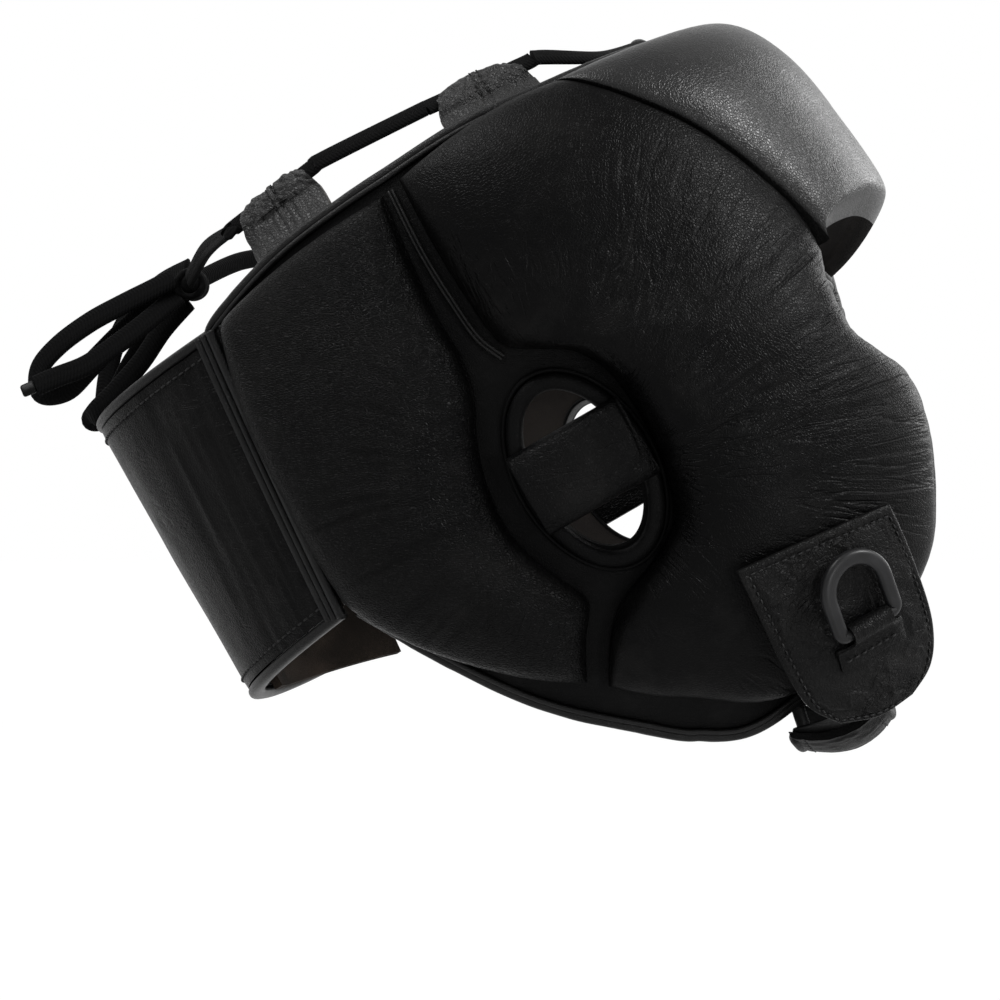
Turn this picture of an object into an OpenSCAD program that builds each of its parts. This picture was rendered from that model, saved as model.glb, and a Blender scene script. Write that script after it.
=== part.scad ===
// Boxing headguard with a laced crown, a wrap round rear strap and a chin strap.
// Built level with the rim of its crown, then pitched back as it is worn.
// Lengths in mm, angles in degrees. +X is the face, -Y the wearer's right, +Z up.
// The origin is the middle of the head cavity.

/* [Head cavity] */
// Pitch of the guard when it is worn, nose up
worn_pitch = 30; // [10:1:40]
// Half width of the cavity at the temples
head_half_w = 78; // [72:1:84]
// Reach of the cavity from the origin to the brow
head_front = 103; // [97:1:110]
// Reach of the cavity from the origin to the back of the head
head_back = 112; // [106:1:118]
// Squareness of the level section, where 2 is an ellipse
form_power = 2.35; // [2.1:0.05:2.6]

/* [Layers] */
// Thickness of the suede lining
lining_t = 2.2; // [1.5:0.1:3]
// Thickness of the backing foam with its leather
backing_t = 5.4; // [4:0.1:7]
// Clearance between stacked layers
layer_gap = 0.3; // [0.2:0.05:0.4]
// Thickness of the cover leather
leather_t = 1.4; // [1:0.1:2]

/* [Pads] */
// Height of the forehead pad above its hem
forehead_rise = 28; // [22:1:30]
// Height of the temple and cheek pad above its hem
cheek_rise = 22; // [16:1:25]
// Height of the rear pad above its hem
rear_rise = 14; // [10:1:18]
// Height of a pad's upright edge
pad_hem = 3.4; // [2.5:0.1:4.5]

/* [Binding] */
// Height of the bound edge beyond the panels
binding_h = 4.6; // [3.6:0.2:6]

/* [Ear] */
// Length of the ear opening
ear_long = 56; // [50:1:60]
// Width of the ear opening
ear_wide = 32; // [28:1:34]
// Thickness of the rolled ring around it
ring_roll = 5; // [4:0.5:6]
// Height of the padded strap over the ear
ear_strap_h = 27; // [20:1:30]
// Thickness of the padded strap over the ear
ear_strap_t = 7; // [5:0.5:9]

/* [Rear strap] */
// Reach of the rear strap behind the origin
strap_back = 129; // [126:1:136]
// Thickness of the rear strap
strap_t = 4.6; // [3.4:0.2:6]
// Height of its top edge at the back
strap_top = 60; // [54:1:63]
// Depth of its lower edge at the back
strap_low = 42; // [36:1:46]
// Angle past the middle of the back at which it ends
strap_wrap = 50; // [44:1:54]

/* [Crown lace] */
// Width of the flat lace
lace_w = 6; // [5:0.5:7]
// Thickness of the flat lace
lace_t = 1.8; // [1.4:0.2:2.4]
// Height of each back lace loop above the rim
back_loop_h = 24; // [20:1:26]
// Height of each middle lace loop above the rim
mid_loop_h = 17.5; // [16:0.5:22]

/* [Chin] */
// Thickness of the chin tab leather
tab_t = 2.2; // [1.6:0.2:3]
// Width of the chin strap
chin_w = 30; // [26:1:34]
// Thickness of the chin strap
chin_t = 3; // [2.4:0.2:3.6]
// Outer width of the pull ring
pull_w = 27; // [24:1:32]
// Thickness of the pull ring
pull_t = 4; // [3:0.5:5]

/* [Hidden] */

backing_base = lining_t + layer_gap;
pad_base = backing_base + backing_t + layer_gap;
leather = "#1c1c1e";
smooth_leather = "#141416";
suede = "#2a2523";
foam = "#4a4a4c";
plastic = "#101011";
cotton = "#0c0c0d";
fastener = "#0a0a0a";

// The head cavity

function taper(z, mid, up, up_power, down, down_power) =
  1 - (z > mid ? pow((z - mid) / up, up_power) : pow((mid - z) / down, down_power));
function root_of(a) = sign(a) * pow(abs(a), 2 / form_power);
function half_w_at(z) = head_half_w * taper(z, 30, 119, 2.9, 239, 2);
function front_at(z) = head_front * taper(z, 22, 134, 3.2, 205, 2.8);
function back_at(z) = head_back * taper(z, 45, 125, 3, 250, 2);
function on_head(a, z) = [
  (cos(a) >= 0 ? front_at(z) : back_at(z)) * root_of(cos(a)),
  -half_w_at(z) * root_of(sin(a)),
  z];
function unit(v) = v / norm(v);
function outward(q) =
  unit(cross(
    on_head(q[0] + 1, q[1]) - on_head(q[0] - 1, q[1]),
    on_head(q[0], q[1] - 1) - on_head(q[0], q[1] + 1)));
function lift(q, d) = on_head(q[0], q[1]) + d * outward(q);
function side_angle(x, z) =
  let(f = x / (x > 0 ? front_at(z) : back_at(z)))
  acos(sign(f) * pow(abs(f), form_power / 2));

// Curves through a few points, and patches between four of them

function ease(p0, p1, p2, p3, f) =
  p1 + 0.5 * f * (p2 - p0 + f * (2 * p0 - 5 * p1 + 4 * p2 - p3 + f * (3 * (p1 - p2) + p3 - p0)));
function along(p, t) =
  let(last = len(p) - 1, k = min(floor(t * last), last - 1), f = t * last - k)
  ease(p[max(k - 1, 0)], p[k], p[k + 1], p[min(k + 2, last)], f);
function end_of(p) = p[len(p) - 1];
function part_of(p, a, b, n) = [for (i = [0 : n]) along(p, a + (b - a) * i / n)];
function spot(c, s, t) =
  (1 - t) * along(c[0], s) + t * along(c[1], s)
  + (1 - s) * along(c[2], t) + s * along(c[3], t)
  - (1 - s) * ((1 - t) * c[2][0] + t * end_of(c[2]))
  - s * ((1 - t) * c[3][0] + t * end_of(c[3]));
function even(n) = [for (i = [0 : n]) i / n];
function edgy(n) = [for (i = [0 : n]) (1 - cos(180 * i / n)) / 2];
function roll(t, k) = sqrt(max(0, 1 - pow(abs(2 * t - 1), k)));
function inset(t, e) = e + (1 - 2 * e) * t;

// A level sheet of points over a patch, at distance d from the cavity
function sheet(c, rows, cols, d, e = 0) =
  [for (s = rows) [for (t = cols) lift(spot(c, inset(s, e), inset(t, e)), d)]];
// The same patch raised to a crown, with an upright edge around it when walled
function dome(c, rows, cols, base, hem, rise, e, walled) =
  let(
    all_rows = walled ? concat([-1], rows, [2]) : rows,
    all_cols = walled ? concat([-1], cols, [2]) : cols)
  [for (s = all_rows) [for (t = all_cols)
    let(u = min(max(s, 0), 1), v = min(max(t, 0), 1), rim = s < 0 || s > 1 || t < 0 || t > 1)
    lift(spot(c, inset(u, e), inset(v, e)), rim ? base : base + hem + rise(u, v))]];

// A solid between two grids of points with the same rows and columns
module skin(top, bottom) {
  rows = len(top);
  cols = len(top[0]);
  n = rows * cols;
  points = [for (g = [top, bottom]) for (r = g) for (p = r) p];
  quads = [for (i = [0 : rows - 2]) for (j = [0 : cols - 2])
    [i * cols + j, i * cols + j + 1, (i + 1) * cols + j + 1, (i + 1) * cols + j]];
  rim = concat(
    [for (j = [0 : cols - 2]) j],
    [for (i = [0 : rows - 2]) i * cols + cols - 1],
    [for (j = [cols - 1 : -1 : 1]) (rows - 1) * cols + j],
    [for (i = [rows - 1 : -1 : 1]) i * cols]);
  m = len(rim);
  faces = concat(
    [for (q = quads) each [[q[0], q[1], q[2]], [q[0], q[2], q[3]]]],
    [for (q = quads) each [[n + q[2], n + q[1], n + q[0]], [n + q[3], n + q[2], n + q[0]]]],
    [for (k = [0 : m - 1])
      let(a = rim[k], b = rim[(k + 1) % m]) each [[b, a, n + a], [b, n + a, n + b]]]);
  polyhedron(points, faces);
}

// A solid carried through rings of points, open ended or closed on itself
module loft(rings, closed = false) {
  n = len(rings[0]);
  m = len(rings);
  spans = closed ? m : m - 1;
  points = [for (r = rings) for (p = r) p];
  walls = [for (i = [0 : spans - 1]) for (k = [0 : n - 1])
    let(a = i * n + k, b = i * n + (k + 1) % n, c = ((i + 1) % m) * n + (k + 1) % n,
      d = ((i + 1) % m) * n + k)
    each [[a, d, c], [a, c, b]]];
  caps = closed ? [] : concat(
    [for (k = [1 : n - 2]) [0, k, k + 1]],
    [for (k = [1 : n - 2]) [(m - 1) * n, (m - 1) * n + k + 1, (m - 1) * n + k]]);
  polyhedron(points, concat(walls, caps));
}

// Rings of an oval rod along points p, with its first half axis along normals v
function rings(p, v, r_v, r_b, shift, sides, closed = false) =
  let(m = len(p))
  [for (i = [0 : m - 1])
    let(
      ahead = p[closed ? (i + 1) % m : min(i + 1, m - 1)],
      behind = p[closed ? (i + m - 1) % m : max(i - 1, 0)],
      way = unit(ahead - behind),
      b = unit(cross(way, v[i])),
      w = cross(b, way))
    [for (k = [0 : sides - 1])
      let(a = 360 * (k + 0.5) / sides)
      p[i] + w * r_v * cos(a) + b * (shift + r_b * sin(a))]];

// A bound edge around the layered panels, laid just beyond the line q
binding_d = (pad_base - layer_gap) / 2;
binding_gap = 0.8;
module binding(q, side, closed = false) {
  p = [for (a = q) lift(a, binding_d)];
  v = [for (a = q) outward(a)];
  loft(rings(p, v, binding_d + leather_t, binding_h / 2,
    side * (binding_h / 2 + binding_gap), 8, closed), closed);
}

module worn() {
  rotate([0, -worn_pitch, 0]) children();
}
module left_side() {
  mirror([0, 1, 0]) children();
}

// Panel outlines on the right side, as angle from the face and height

seam_top = [56, 74];
face_edge = [
  [44, -122], [31, -113], [21, -100], [19, -84], [18, -66], [20, -51], [26, -43],
  [31, -34], [31, -22], [28.5, -8]];
brow_seam = [[28.5, -8], [33, 14], [40, 38], [48, 57], seam_top];
front_line = concat(face_edge, [for (i = [1 : 4]) brow_seam[i]]);
rear_line = [[131, -33], [129, -14], [126.5, 8], [124.5, 34], [122, 52], [120.5, 64]];
low_line = [[44, -122], [64, -128.5], [83, -128], [98, -111.5], [115, -84], [131, -33]];
top_line = [seam_top, [74, 76], [90, 74.5], [106, 71], [120.5, 64]];
side_panel = [front_line, rear_line, low_line, top_line];

gap_angle = 0.35;
cheek_front = [for (p = front_line) p + [gap_angle, 0]];
cheek_low = [[44, -122], [60, -125.5], [76, -122], [88, -111], [98.5, -96]];
cheek_rear = [
  [98.5, -96], [92, -81], [88, -74], [82, -69], [76.5, -62], [74, -52], [73, -40], [73, -26],
  [74, -12], [77, -1], [82, 6], [86, 13], [87, 30], [87.3, 52], [87, 72]];
cheek_top = [seam_top, [66, 75.5], [77, 74.5], [87, 72]];
cheek_pad = [
  concat([cheek_low[0]], [for (i = [1 : len(cheek_front) - 2]) cheek_front[i]], [cheek_top[0]]),
  cheek_rear, cheek_low, cheek_top];

rear_front = [
  [102, -91], [97.5, -80], [93.5, -70], [95, -60], [97, -48], [97.6, -36], [96.5, -22],
  [94.5, -9], [92, 3], [91, 16], [91, 32], [90.5, 51], [90, 70]];
rear_low = [[102, -91], [112, -78], [122, -58], [130, -33]];
rear_back = [[130, -33], [128, -14], [125.5, 8], [123.5, 34], [121, 52], [119.5, 63]];
rear_top = [[90, 70], [100, 69], [110, 66.5], [119.5, 63]];
rear_pad = [rear_front, rear_back, rear_low, rear_top];

forehead_left = [for (p = brow_seam) [-p[0] + gap_angle, p[1]]];
forehead_right = [for (p = brow_seam) [p[0] - gap_angle, p[1]]];
brow_low = [forehead_left[0], [-14, -11], [0, -16], [14, -11], forehead_right[0]];
brow_top = [forehead_left[4], [-28, 72], [0, 71.5], [28, 72], forehead_right[4]];
forehead_pad = [forehead_left, forehead_right, brow_low, brow_top];
front_top = [[-seam_top[0], seam_top[1]], [-28, 72.5], [0, 72], [28, 72.5], seam_top];
front_panel = [
  forehead_left, forehead_right, brow_low,
  [for (p = front_top) [p[0] * (1 - gap_angle / seam_top[0]), p[1]]]];

// Heights of the pads over their patches, s upwards and t from the face to the rear

function forehead_form(s, t) =
  forehead_rise * (0.68 + 0.24 * roll(t, 2.5) + 0.08 * roll(t, 9))
  * (s < 0.5 ? roll(s, 6) : roll(s, 3.2)) * (1.04 - 0.2 * s);
function cheek_form(s, t) =
  let(
    seam = min(max((s - 0.66) / 0.1, 0), 1), open_t = t < 0.5 ? roll(t, 7) : roll(t, 5),
    shut_t = roll(0.5 + t / 2, 5))
  cheek_rise * (open_t + 0.88 * (shut_t - open_t) * seam)
  * roll(s, 5) * (0.84 + 0.2 * sin(180 * min(s / 0.8, 1))) * (1 + 0.16 * (1 - t) * (1 - seam));
function rear_form(s, t) = rear_rise * roll(t, 5) * roll(s, 5);

// Breadth of a pad, which turns a wall into a share of its patch
pad_span = 80;
module pad_cover(c, form, rows, cols) {
  e = leather_t / pad_span;
  skin(
    dome(c, edgy(rows), edgy(cols), pad_base, pad_hem, form, 0, true),
    dome(c, edgy(rows), edgy(cols), pad_base, pad_hem - leather_t, form, e, true));
}
module pad_foam(c, form, rows, cols) {
  e = (2 * leather_t + 6 * layer_gap) / pad_span;
  low = leather_t + 3 * layer_gap;
  core = function(s, t) 0.97 * form(s, t);
  skin(
    dome(c, edgy(rows), edgy(cols), pad_base, pad_hem - low, core, e, false),
    sheet(c, edgy(rows), edgy(cols), pad_base + 3 * layer_gap, e));
}

// Forehead

module forehead_cover() {
  color(leather) worn() pad_cover(forehead_pad, function(s, t) forehead_form(s, t), 9, 14);
}
module forehead_foam() {
  color(foam) worn() pad_foam(forehead_pad, function(s, t) forehead_form(s, t), 5, 8);
}
module front_backing() {
  color(smooth_leather) worn()
    skin(
      sheet(front_panel, even(6), even(10), backing_base + backing_t),
      sheet(front_panel, even(6), even(10), backing_base));
}
module front_lining() {
  color(suede) worn()
    skin(
      sheet(front_panel, even(6), even(10), lining_t),
      sheet(front_panel, even(6), even(10), 0));
}

// Sides, drawn for the right and mirrored for the left

ear_x = 12.5;
ear_z = -34;
ring_lap = 0.4;
ring_x = ear_wide / 2 + ring_roll / 2 - ring_lap;
ring_z = ear_long / 2 + ring_roll / 2 - ring_lap;
ear_step = 10;
module ear_hole() {
  oval = [for (a = [0 : ear_step : 359]) [ear_wide / 2 * cos(a), ear_long / 2 * sin(a)]];
  translate([ear_x, 0, ear_z]) rotate([90, 0, 0]) linear_extrude(head_half_w * 2) polygon(oval);
}
module cheek_cover() {
  pad_cover(cheek_pad, function(s, t) cheek_form(s, t), 18, 9);
}
module cheek_foam() {
  pad_foam(cheek_pad, function(s, t) cheek_form(s, t), 9, 5);
}
module rear_cover() {
  pad_cover(rear_pad, function(s, t) rear_form(s, t), 12, 7);
}
module rear_foam() {
  pad_foam(rear_pad, function(s, t) rear_form(s, t), 6, 4);
}
module backing() {
  difference() {
    skin(
      sheet(side_panel, even(12), even(6), backing_base + backing_t),
      sheet(side_panel, even(12), even(6), backing_base));
    ear_hole();
  }
}
module lining() {
  difference() {
    skin(
      sheet(side_panel, even(12), even(6), lining_t),
      sheet(side_panel, even(12), even(6), 0));
    ear_hole();
  }
}
module ear_ring() {
  q = [for (a = [0 : 15 : 359])
    let(z = ear_z + ring_z * sin(a)) [side_angle(ear_x + ring_x * cos(a), z), z]];
  loft(rings(
    [for (a = q) lift(a, pad_base + ring_roll / 2)], [for (a = q) outward(a)],
    ring_roll / 2, ring_roll / 2, 0, 8, true), true);
}
strap_rise = 2;
strap_hem = 2;
module ear_strap() {
  z0 = ear_z + strap_rise - ear_strap_h / 2;
  z1 = z0 + ear_strap_h;
  front_x = ear_x + ring_x + 1;
  back_x = ear_x - ring_x - 1;
  c = [
    [[side_angle(front_x, z0), z0], [side_angle(front_x, z1), z1]],
    [[side_angle(back_x, z0), z0], [side_angle(back_x, z1), z1]],
    [[side_angle(front_x, z0), z0], [side_angle(back_x, z0), z0]],
    [[side_angle(front_x, z1), z1], [side_angle(back_x, z1), z1]]];
  base = pad_base + ring_roll + layer_gap;
  form = function(s, t) (ear_strap_t - strap_hem) * roll(s, 3) * (0.7 + 0.3 * roll(t, 4));
  skin(dome(c, edgy(6), even(5), base, strap_hem, form, 0, false),
    sheet(c, edgy(6), even(5), base));
}
strip_w = 2.5;
strip_t = 2.4;
module channel_strip() {
  p = [[88.8, 71], [89.2, 50], [89, 32], [88.5, 18], [87, 9]];
  q = part_of(p, 0, 1, 6);
  loft(rings(
    [for (a = q) lift(a, pad_base + strip_t / 2)], [for (a = q) outward(a)],
    strip_t / 2, strip_w / 2, 0, 8));
}

module right_cheek_cover() {
  color(leather) worn() cheek_cover();
}
module right_cheek_foam() {
  color(foam) worn() cheek_foam();
}
module right_rear_cover() {
  color(leather) worn() rear_cover();
}
module right_rear_foam() {
  color(foam) worn() rear_foam();
}
module right_backing() {
  color(smooth_leather) worn() backing();
}
module right_lining() {
  color(suede) worn() lining();
}
module right_ear_ring() {
  color(smooth_leather) worn() ear_ring();
}
module right_ear_strap() {
  color(leather) worn() ear_strap();
}
module right_channel_strip() {
  color(smooth_leather) worn() channel_strip();
}
module left_cheek_cover() {
  color(leather) worn() left_side() cheek_cover();
}
module left_cheek_foam() {
  color(foam) worn() left_side() cheek_foam();
}
module left_rear_cover() {
  color(leather) worn() left_side() rear_cover();
}
module left_rear_foam() {
  color(foam) worn() left_side() rear_foam();
}
module left_backing() {
  color(smooth_leather) worn() left_side() backing();
}
module left_lining() {
  color(suede) worn() left_side() lining();
}
module left_ear_ring() {
  color(smooth_leather) worn() left_side() ear_ring();
}
module left_ear_strap() {
  color(leather) worn() left_side() ear_strap();
}
module left_channel_strip() {
  color(smooth_leather) worn() left_side() channel_strip();
}

// Bound edges

// Share of a line left clear at each end of its binding
end_share = 0.02;
module top_binding() {
  right = part_of(top_line, end_share, 1, 9);
  left = [for (i = [9 : -1 : 0]) [-right[i][0], right[i][1]]];
  middle = part_of(front_top, 0, 1, 10);
  color(smooth_leather) worn()
    binding(concat(left, [for (i = [1 : 9]) middle[i]], right), 1);
}
module low_binding() {
  binding(part_of(low_line, end_share / 2, 1 - end_share / 2, 13), -1);
}
module rear_binding() {
  binding(part_of(rear_line, end_share, 1 - end_share, 6), -1);
}
module right_rear_binding() {
  color(smooth_leather) worn() rear_binding();
}
module left_rear_binding() {
  color(smooth_leather) worn() left_side() rear_binding();
}
module right_low_binding() {
  color(smooth_leather) worn() low_binding();
}
module left_low_binding() {
  color(smooth_leather) worn() left_side() low_binding();
}
module face_binding() {
  up = part_of(face_edge, end_share, 1 - end_share, 16);
  down = [for (i = [16 : -1 : 0]) [-up[i][0], up[i][1]]];
  brow = part_of(brow_low, 0.08, 0.92, 8);
  color(smooth_leather) worn()
    binding(concat(up, [for (i = [8 : -1 : 0]) brow[i]], down), 1);
}

// Crown lace, carried in leather loops that stand on the rim

eye_w = lace_t + 0.8;
eye_h = lace_w + 0.8;
loop_t = eye_w + 2 * leather_t;
eye_drop = (eye_h - eye_w + loop_t) / 2;
foot_gap = binding_gap + 0.6;
// The crown of the head, which the loops and the lace lean over
crown_r = [120, 90, 100];
crown_z = 20;
function crown_out(p) =
  unit([p[0] / pow(crown_r[0], 2), p[1] / pow(crown_r[1], 2), (p[2] - crown_z) / pow(crown_r[2], 2)]);
function crown_up(p) = let(n = crown_out(p)) unit([0, 0, 1] - n[2] * n);
rim_line = concat([for (p = front_top) if (p[0] >= 0) p], [for (i = [1 : 4]) top_line[i]]);
function rim_at(a) =
  let(p = lift([a, lookup(abs(a), rim_line)], binding_d)) p + crown_up(p) * (binding_h + foot_gap);
// A loop's own directions: along the rim, out from the head and up from the rim, then its foot
function loop_place(a) =
  let(p = rim_at(a), x = unit(rim_at(a + 3) - rim_at(a - 3)), o = crown_out(p),
    n = unit(o - (o * x) * x))
  [x, n, cross(x, n), p];
function eye_at(a, h) = let(f = loop_place(a)) f[3] + f[2] * (h - eye_drop);

module slot_shape(w, h) {
  translate([0, (h - w) / 2]) circle(d = w, $fn = 20);
  translate([0, (w - h) / 2]) circle(d = w, $fn = 20);
  square([w, h - w], center = true);
}
module leather_loop(a, w, h) {
  f = loop_place(a);
  multmatrix([for (i = [0 : 2]) [f[0][i], f[1][i], f[2][i], f[3][i]]])
    rotate([90, 0, 90]) translate([0, 0, -w / 2]) linear_extrude(w) difference() {
      union() {
        translate([0, h - eye_drop]) slot_shape(loop_t, eye_h - eye_w + loop_t);
        translate([-leather_t, 0]) square([2 * leather_t, h - 2 * eye_drop + 1]);
      }
      translate([0, h - eye_drop]) slot_shape(eye_w, eye_h);
    }
}
back_loop_a = 103;
back_loop_w = 30;
mid_loop_a = 66;
mid_loop_w = 34;
front_loop_w = 16;
front_loop_h = 14;
module right_back_loop() {
  color(leather) worn() leather_loop(back_loop_a, back_loop_w, back_loop_h);
}
module right_mid_loop() {
  color(leather) worn() leather_loop(mid_loop_a, mid_loop_w, mid_loop_h);
}
module left_back_loop() {
  color(leather) worn() left_side() leather_loop(back_loop_a, back_loop_w, back_loop_h);
}
module left_mid_loop() {
  color(leather) worn() left_side() leather_loop(mid_loop_a, mid_loop_w, mid_loop_h);
}
module front_loop() {
  color(leather) worn() leather_loop(0, front_loop_w, front_loop_h);
}

// A flat lace along points p, each with the way its face looks
module lace(p, v) {
  color(cotton) loft(rings(p, v, lace_t / 2, lace_w / 2, 0, 8));
}
// Places and facings of the lace before, in and past a loop
lace_lead = 5;
function through(a, w, h) =
  let(c = eye_at(a, h), f = loop_place(a))
  [for (l = [w / 2 + lace_lead, w / 2, -w / 2, -w / 2 - lace_lead]) [c + f[0] * l, f[1]]];
function faced(p) = [p, crown_out(p)];
function mirrored(s) = [for (v = s) [v[0], -v[1], v[2]]];
knot = [-78, 0, 91];
knot_r = 5.5;
knot_w = 12;
module crown_lace() {
  half = concat(
    [faced(knot + [1, -knot_w / 2 - layer_gap, 1]), faced(knot + [14, -34, 3])],
    through(back_loop_a, back_loop_w, back_loop_h), through(mid_loop_a, mid_loop_w, mid_loop_h),
    [faced(eye_at(34, (mid_loop_h + front_loop_h) / 2))],
    [for (i = [0, 1]) through(0, front_loop_w, front_loop_h)[i]]);
  stations = concat(half, [for (i = [len(half) - 1 : -1 : 0]) mirrored(half[i])]);
  steps = 2 * (len(stations) - 1);
  worn() lace(
    part_of([for (s = stations) s[0]], 0, 1, steps),
    part_of([for (s = stations) s[1]], 0, 1, steps));
}
module lace_knot() {
  color(cotton) worn() translate(knot) rotate([90, 0, 0]) rotate_extrude($fn = 24)
    polygon([
      [0, -knot_w / 2], [knot_r - 2, -knot_w / 2], [knot_r, -knot_w / 3], [knot_r - 1, 0],
      [knot_r, knot_w / 3], [knot_r - 2, knot_w / 2], [0, knot_w / 2]]);
}

// Free stretches of the lace, as they hang when worn, measured from the knot
function at_knot(a, y) =
  [-(knot_r + layer_gap) * cos(a), y, (knot_r + layer_gap) * sin(a)];
long_loop_route = [
  at_knot(20, -4), [-13, -5, -2], [-23, -6, -7], [-34, -7, -13], [-45, -7, -21], [-52, -5, -29],
  [-52, -2, -37], [-44, 1, -36], [-36, 2, -28], [-26, 2, -18], [-15, 1, -8], at_knot(12, 0)];
short_loop_route = [
  at_knot(-70, 4), [-11, 6, -15], [-19, 8, -26], [-28, 9, -36], [-35, 9, -43], [-37, 12, -46],
  [-34, 15, -45], [-29, 16, -37], [-23, 15, -26], [-15, 12, -15], at_knot(-14, 5)];
long_end_route = [
  at_knot(-42, -4), [-14, -9, -13], [-24, -12, -21], [-34, -14, -28], [-44, -15, -32],
  [-51, -16, -35]];
short_end_route = [
  at_knot(70, 4), [-13, 14, 1], [-24, 19, -8], [-31, 22, -20], [-34, 23, -32], [-35, 23, -42]];
module behind_knot() {
  worn() translate(knot) rotate([0, worn_pitch, 0]) children();
}
lace_tilt = 0.5;
function broad(p) = [for (i = [0 : len(p) - 1])
  let(way = unit(p[min(i + 1, len(p) - 1)] - p[max(i - 1, 0)]))
  unit([0, 1, 0] + lace_tilt * cross(way, [0, 1, 0]))];
module free_lace(route, n) {
  p = part_of(route, 0, 1, n);
  behind_knot() lace(p, broad(p));
}
module bow_loop_long() {
  free_lace(long_loop_route, 18);
}
module bow_loop_short() {
  free_lace(short_loop_route, 16);
}
module lace_end_long() {
  free_lace(long_end_route, 7);
}
module lace_end_short() {
  free_lace(short_end_route, 8);
}
tip_l = 5;
module lace_tip(route) {
  e = end_of(route);
  way = unit(e - route[len(route) - 2]);
  p = [for (f = [0, 1]) e + way * (0.1 + f * tip_l)];
  loft(rings(p, broad(p), lace_t / 2 + 0.3, lace_w / 2 - 0.6, 0, 8));
}
module lace_tips() {
  color(plastic) behind_knot() {
    lace_tip(long_end_route);
    lace_tip(short_end_route);
  }
}

// Rear strap and the flap under it

strap_seat = 5;
strap_start = [[126.8, -34], [121.6, 62]];
strap_gap_a = 1.3;
under_gap_a = 4.4;
hook_t = 1.1;
under_t = 2.8;
patch_gap = 0.4;
function strap_at(a, z, d) = [
  (strap_back - strap_t + d) * root_of(cos(a)),
  -(half_w_at(z) + strap_seat + d) * root_of(sin(a)), z];
function strap_z(u, v) =
  let(
    top = strap_top + (strap_start[1][1] - strap_top) * pow(1 - u, 2),
    low = -strap_low + (strap_start[0][1] + strap_low) * pow(1 - u, 2))
  low + (top - low) * v;
function strap_start_a(v) =
  strap_start[0][0] + (strap_start[1][0] - strap_start[0][0]) * v + strap_gap_a;
strap_end_a = 180 + strap_wrap;
function strap_q(u, v) =
  [strap_start_a(v) + (strap_end_a - strap_start_a(v)) * u, strap_z(u, v)];
module rear_strap() {
  grid = function(d) [for (v = even(3)) [for (u = even(16))
    let(q = strap_q(u, v)) strap_at(q[0], q[1], d)]];
  color(leather) worn() skin(grid(strap_t), grid(0));
}
bead_r = 1.9;
bead_lip = 0.6;
module strap_bead(v, side) {
  q = [for (u = even(16)) strap_q(u, v)];
  p = [for (s = q) strap_at(s[0], s[1], strap_t / 2)];
  n = [for (s = q) unit(strap_at(s[0], s[1], 3) - strap_at(s[0], s[1], 0))];
  loft(rings(p, n, strap_t / 2 + bead_lip, bead_r, side * (bead_r + layer_gap / 2), 8));
}
module rear_strap_top_binding() {
  color(smooth_leather) worn() strap_bead(1, 1);
}
module rear_strap_low_binding() {
  color(smooth_leather) worn() strap_bead(0, -1);
}
patch_low = -28;
patch_high = 48;
module strap_patch(a0, a1, d) {
  grid = function(e) [for (v = even(2)) [for (u = even(8))
    strap_at(a0 + (a1 - a0) * u, patch_low + (patch_high - patch_low) * v, e)]];
  skin(grid(d), grid(d - hook_t));
}
module rear_hook_patch() {
  color(fastener) worn() strap_patch(184, strap_end_a - 2, -patch_gap);
}
loop_d = -patch_gap - hook_t - layer_gap;
under_d = loop_d - hook_t - patch_gap;
module rear_loop_patch() {
  color(fastener) worn() strap_patch(180, 218, loop_d);
}
under_reach = 172;
under_low = -44;
under_top = 54;
under_flare = 8;
module rear_under_strap() {
  edge = function(v) 360 - strap_start_a(v) - under_gap_a;
  low = function(u) under_low - under_flare * pow(u, 3);
  grid = function(d) [for (v = even(4)) [for (u = even(12))
    strap_at(under_reach + (edge(v) - under_reach) * u, low(u) + (under_top - low(u)) * v, d)]];
  color(suede) worn() skin(grid(under_d), grid(under_d - under_t));
}

// Chin strap, its tab and the ring that pulls the tab open

chin_x = 41.5;
chin_path = [
  [58, -140.9], [48, -141.9], [36, -144.4], [20, -148.4], [0, -151.8], [-22, -152.8], [-42, -151.4],
  [-56, -146.6]];
function beside(p, i, d) =
  let(w = unit(p[min(i + 1, len(p) - 1)] - p[max(i - 1, 0)])) p[i] + d * [-w[1], w[0]];
module chin_strap() {
  p = part_of(chin_path, 0, 1, 28);
  top = [for (i = [0 : len(p) - 1]) beside(p, i, -chin_t / 2)];
  low = [for (i = [len(p) - 1 : -1 : 0]) beside(p, i, chin_t / 2)];
  color(leather) worn() translate([chin_x - chin_w / 2, 0, 0]) rotate([90, 0, 90])
    linear_extrude(chin_w) polygon(concat(top, low));
}
anchor_t = 2.2;
anchor_y = 42;
module chin_anchor() {
  color(leather) worn()
    translate([chin_x - chin_w / 2, anchor_y, chin_path[0][1] + chin_t / 2 + layer_gap])
      cube([chin_w, chin_path[0][0] - anchor_y, anchor_t]);
}
tab_d = 37.5;
tab_left = [[42, -129.5], [35.5, -124], [34.5, -115], [38, -99], [41.7, -80.4]];
tab_right = [[62, -129], [68, -121], [70.5, -107], [71.5, -92], [72, -77.2]];
tab_low = [[42, -129.5], [52, -131.5], [62, -129]];
tab_top = [[41.7, -80.4], [57, -79], [72, -77.2]];
tab_shape = [tab_left, tab_right, tab_low, tab_top];
module chin_tab() {
  color(leather) worn()
    skin(sheet(tab_shape, even(8), even(6), tab_d + tab_t), sheet(tab_shape, even(8), even(6), tab_d));
}
module tab_patch(rows, inset_share, d) {
  skin(
    sheet(tab_shape, rows, even(4), d, inset_share),
    sheet(tab_shape, rows, even(4), d - hook_t, inset_share));
}
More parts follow.
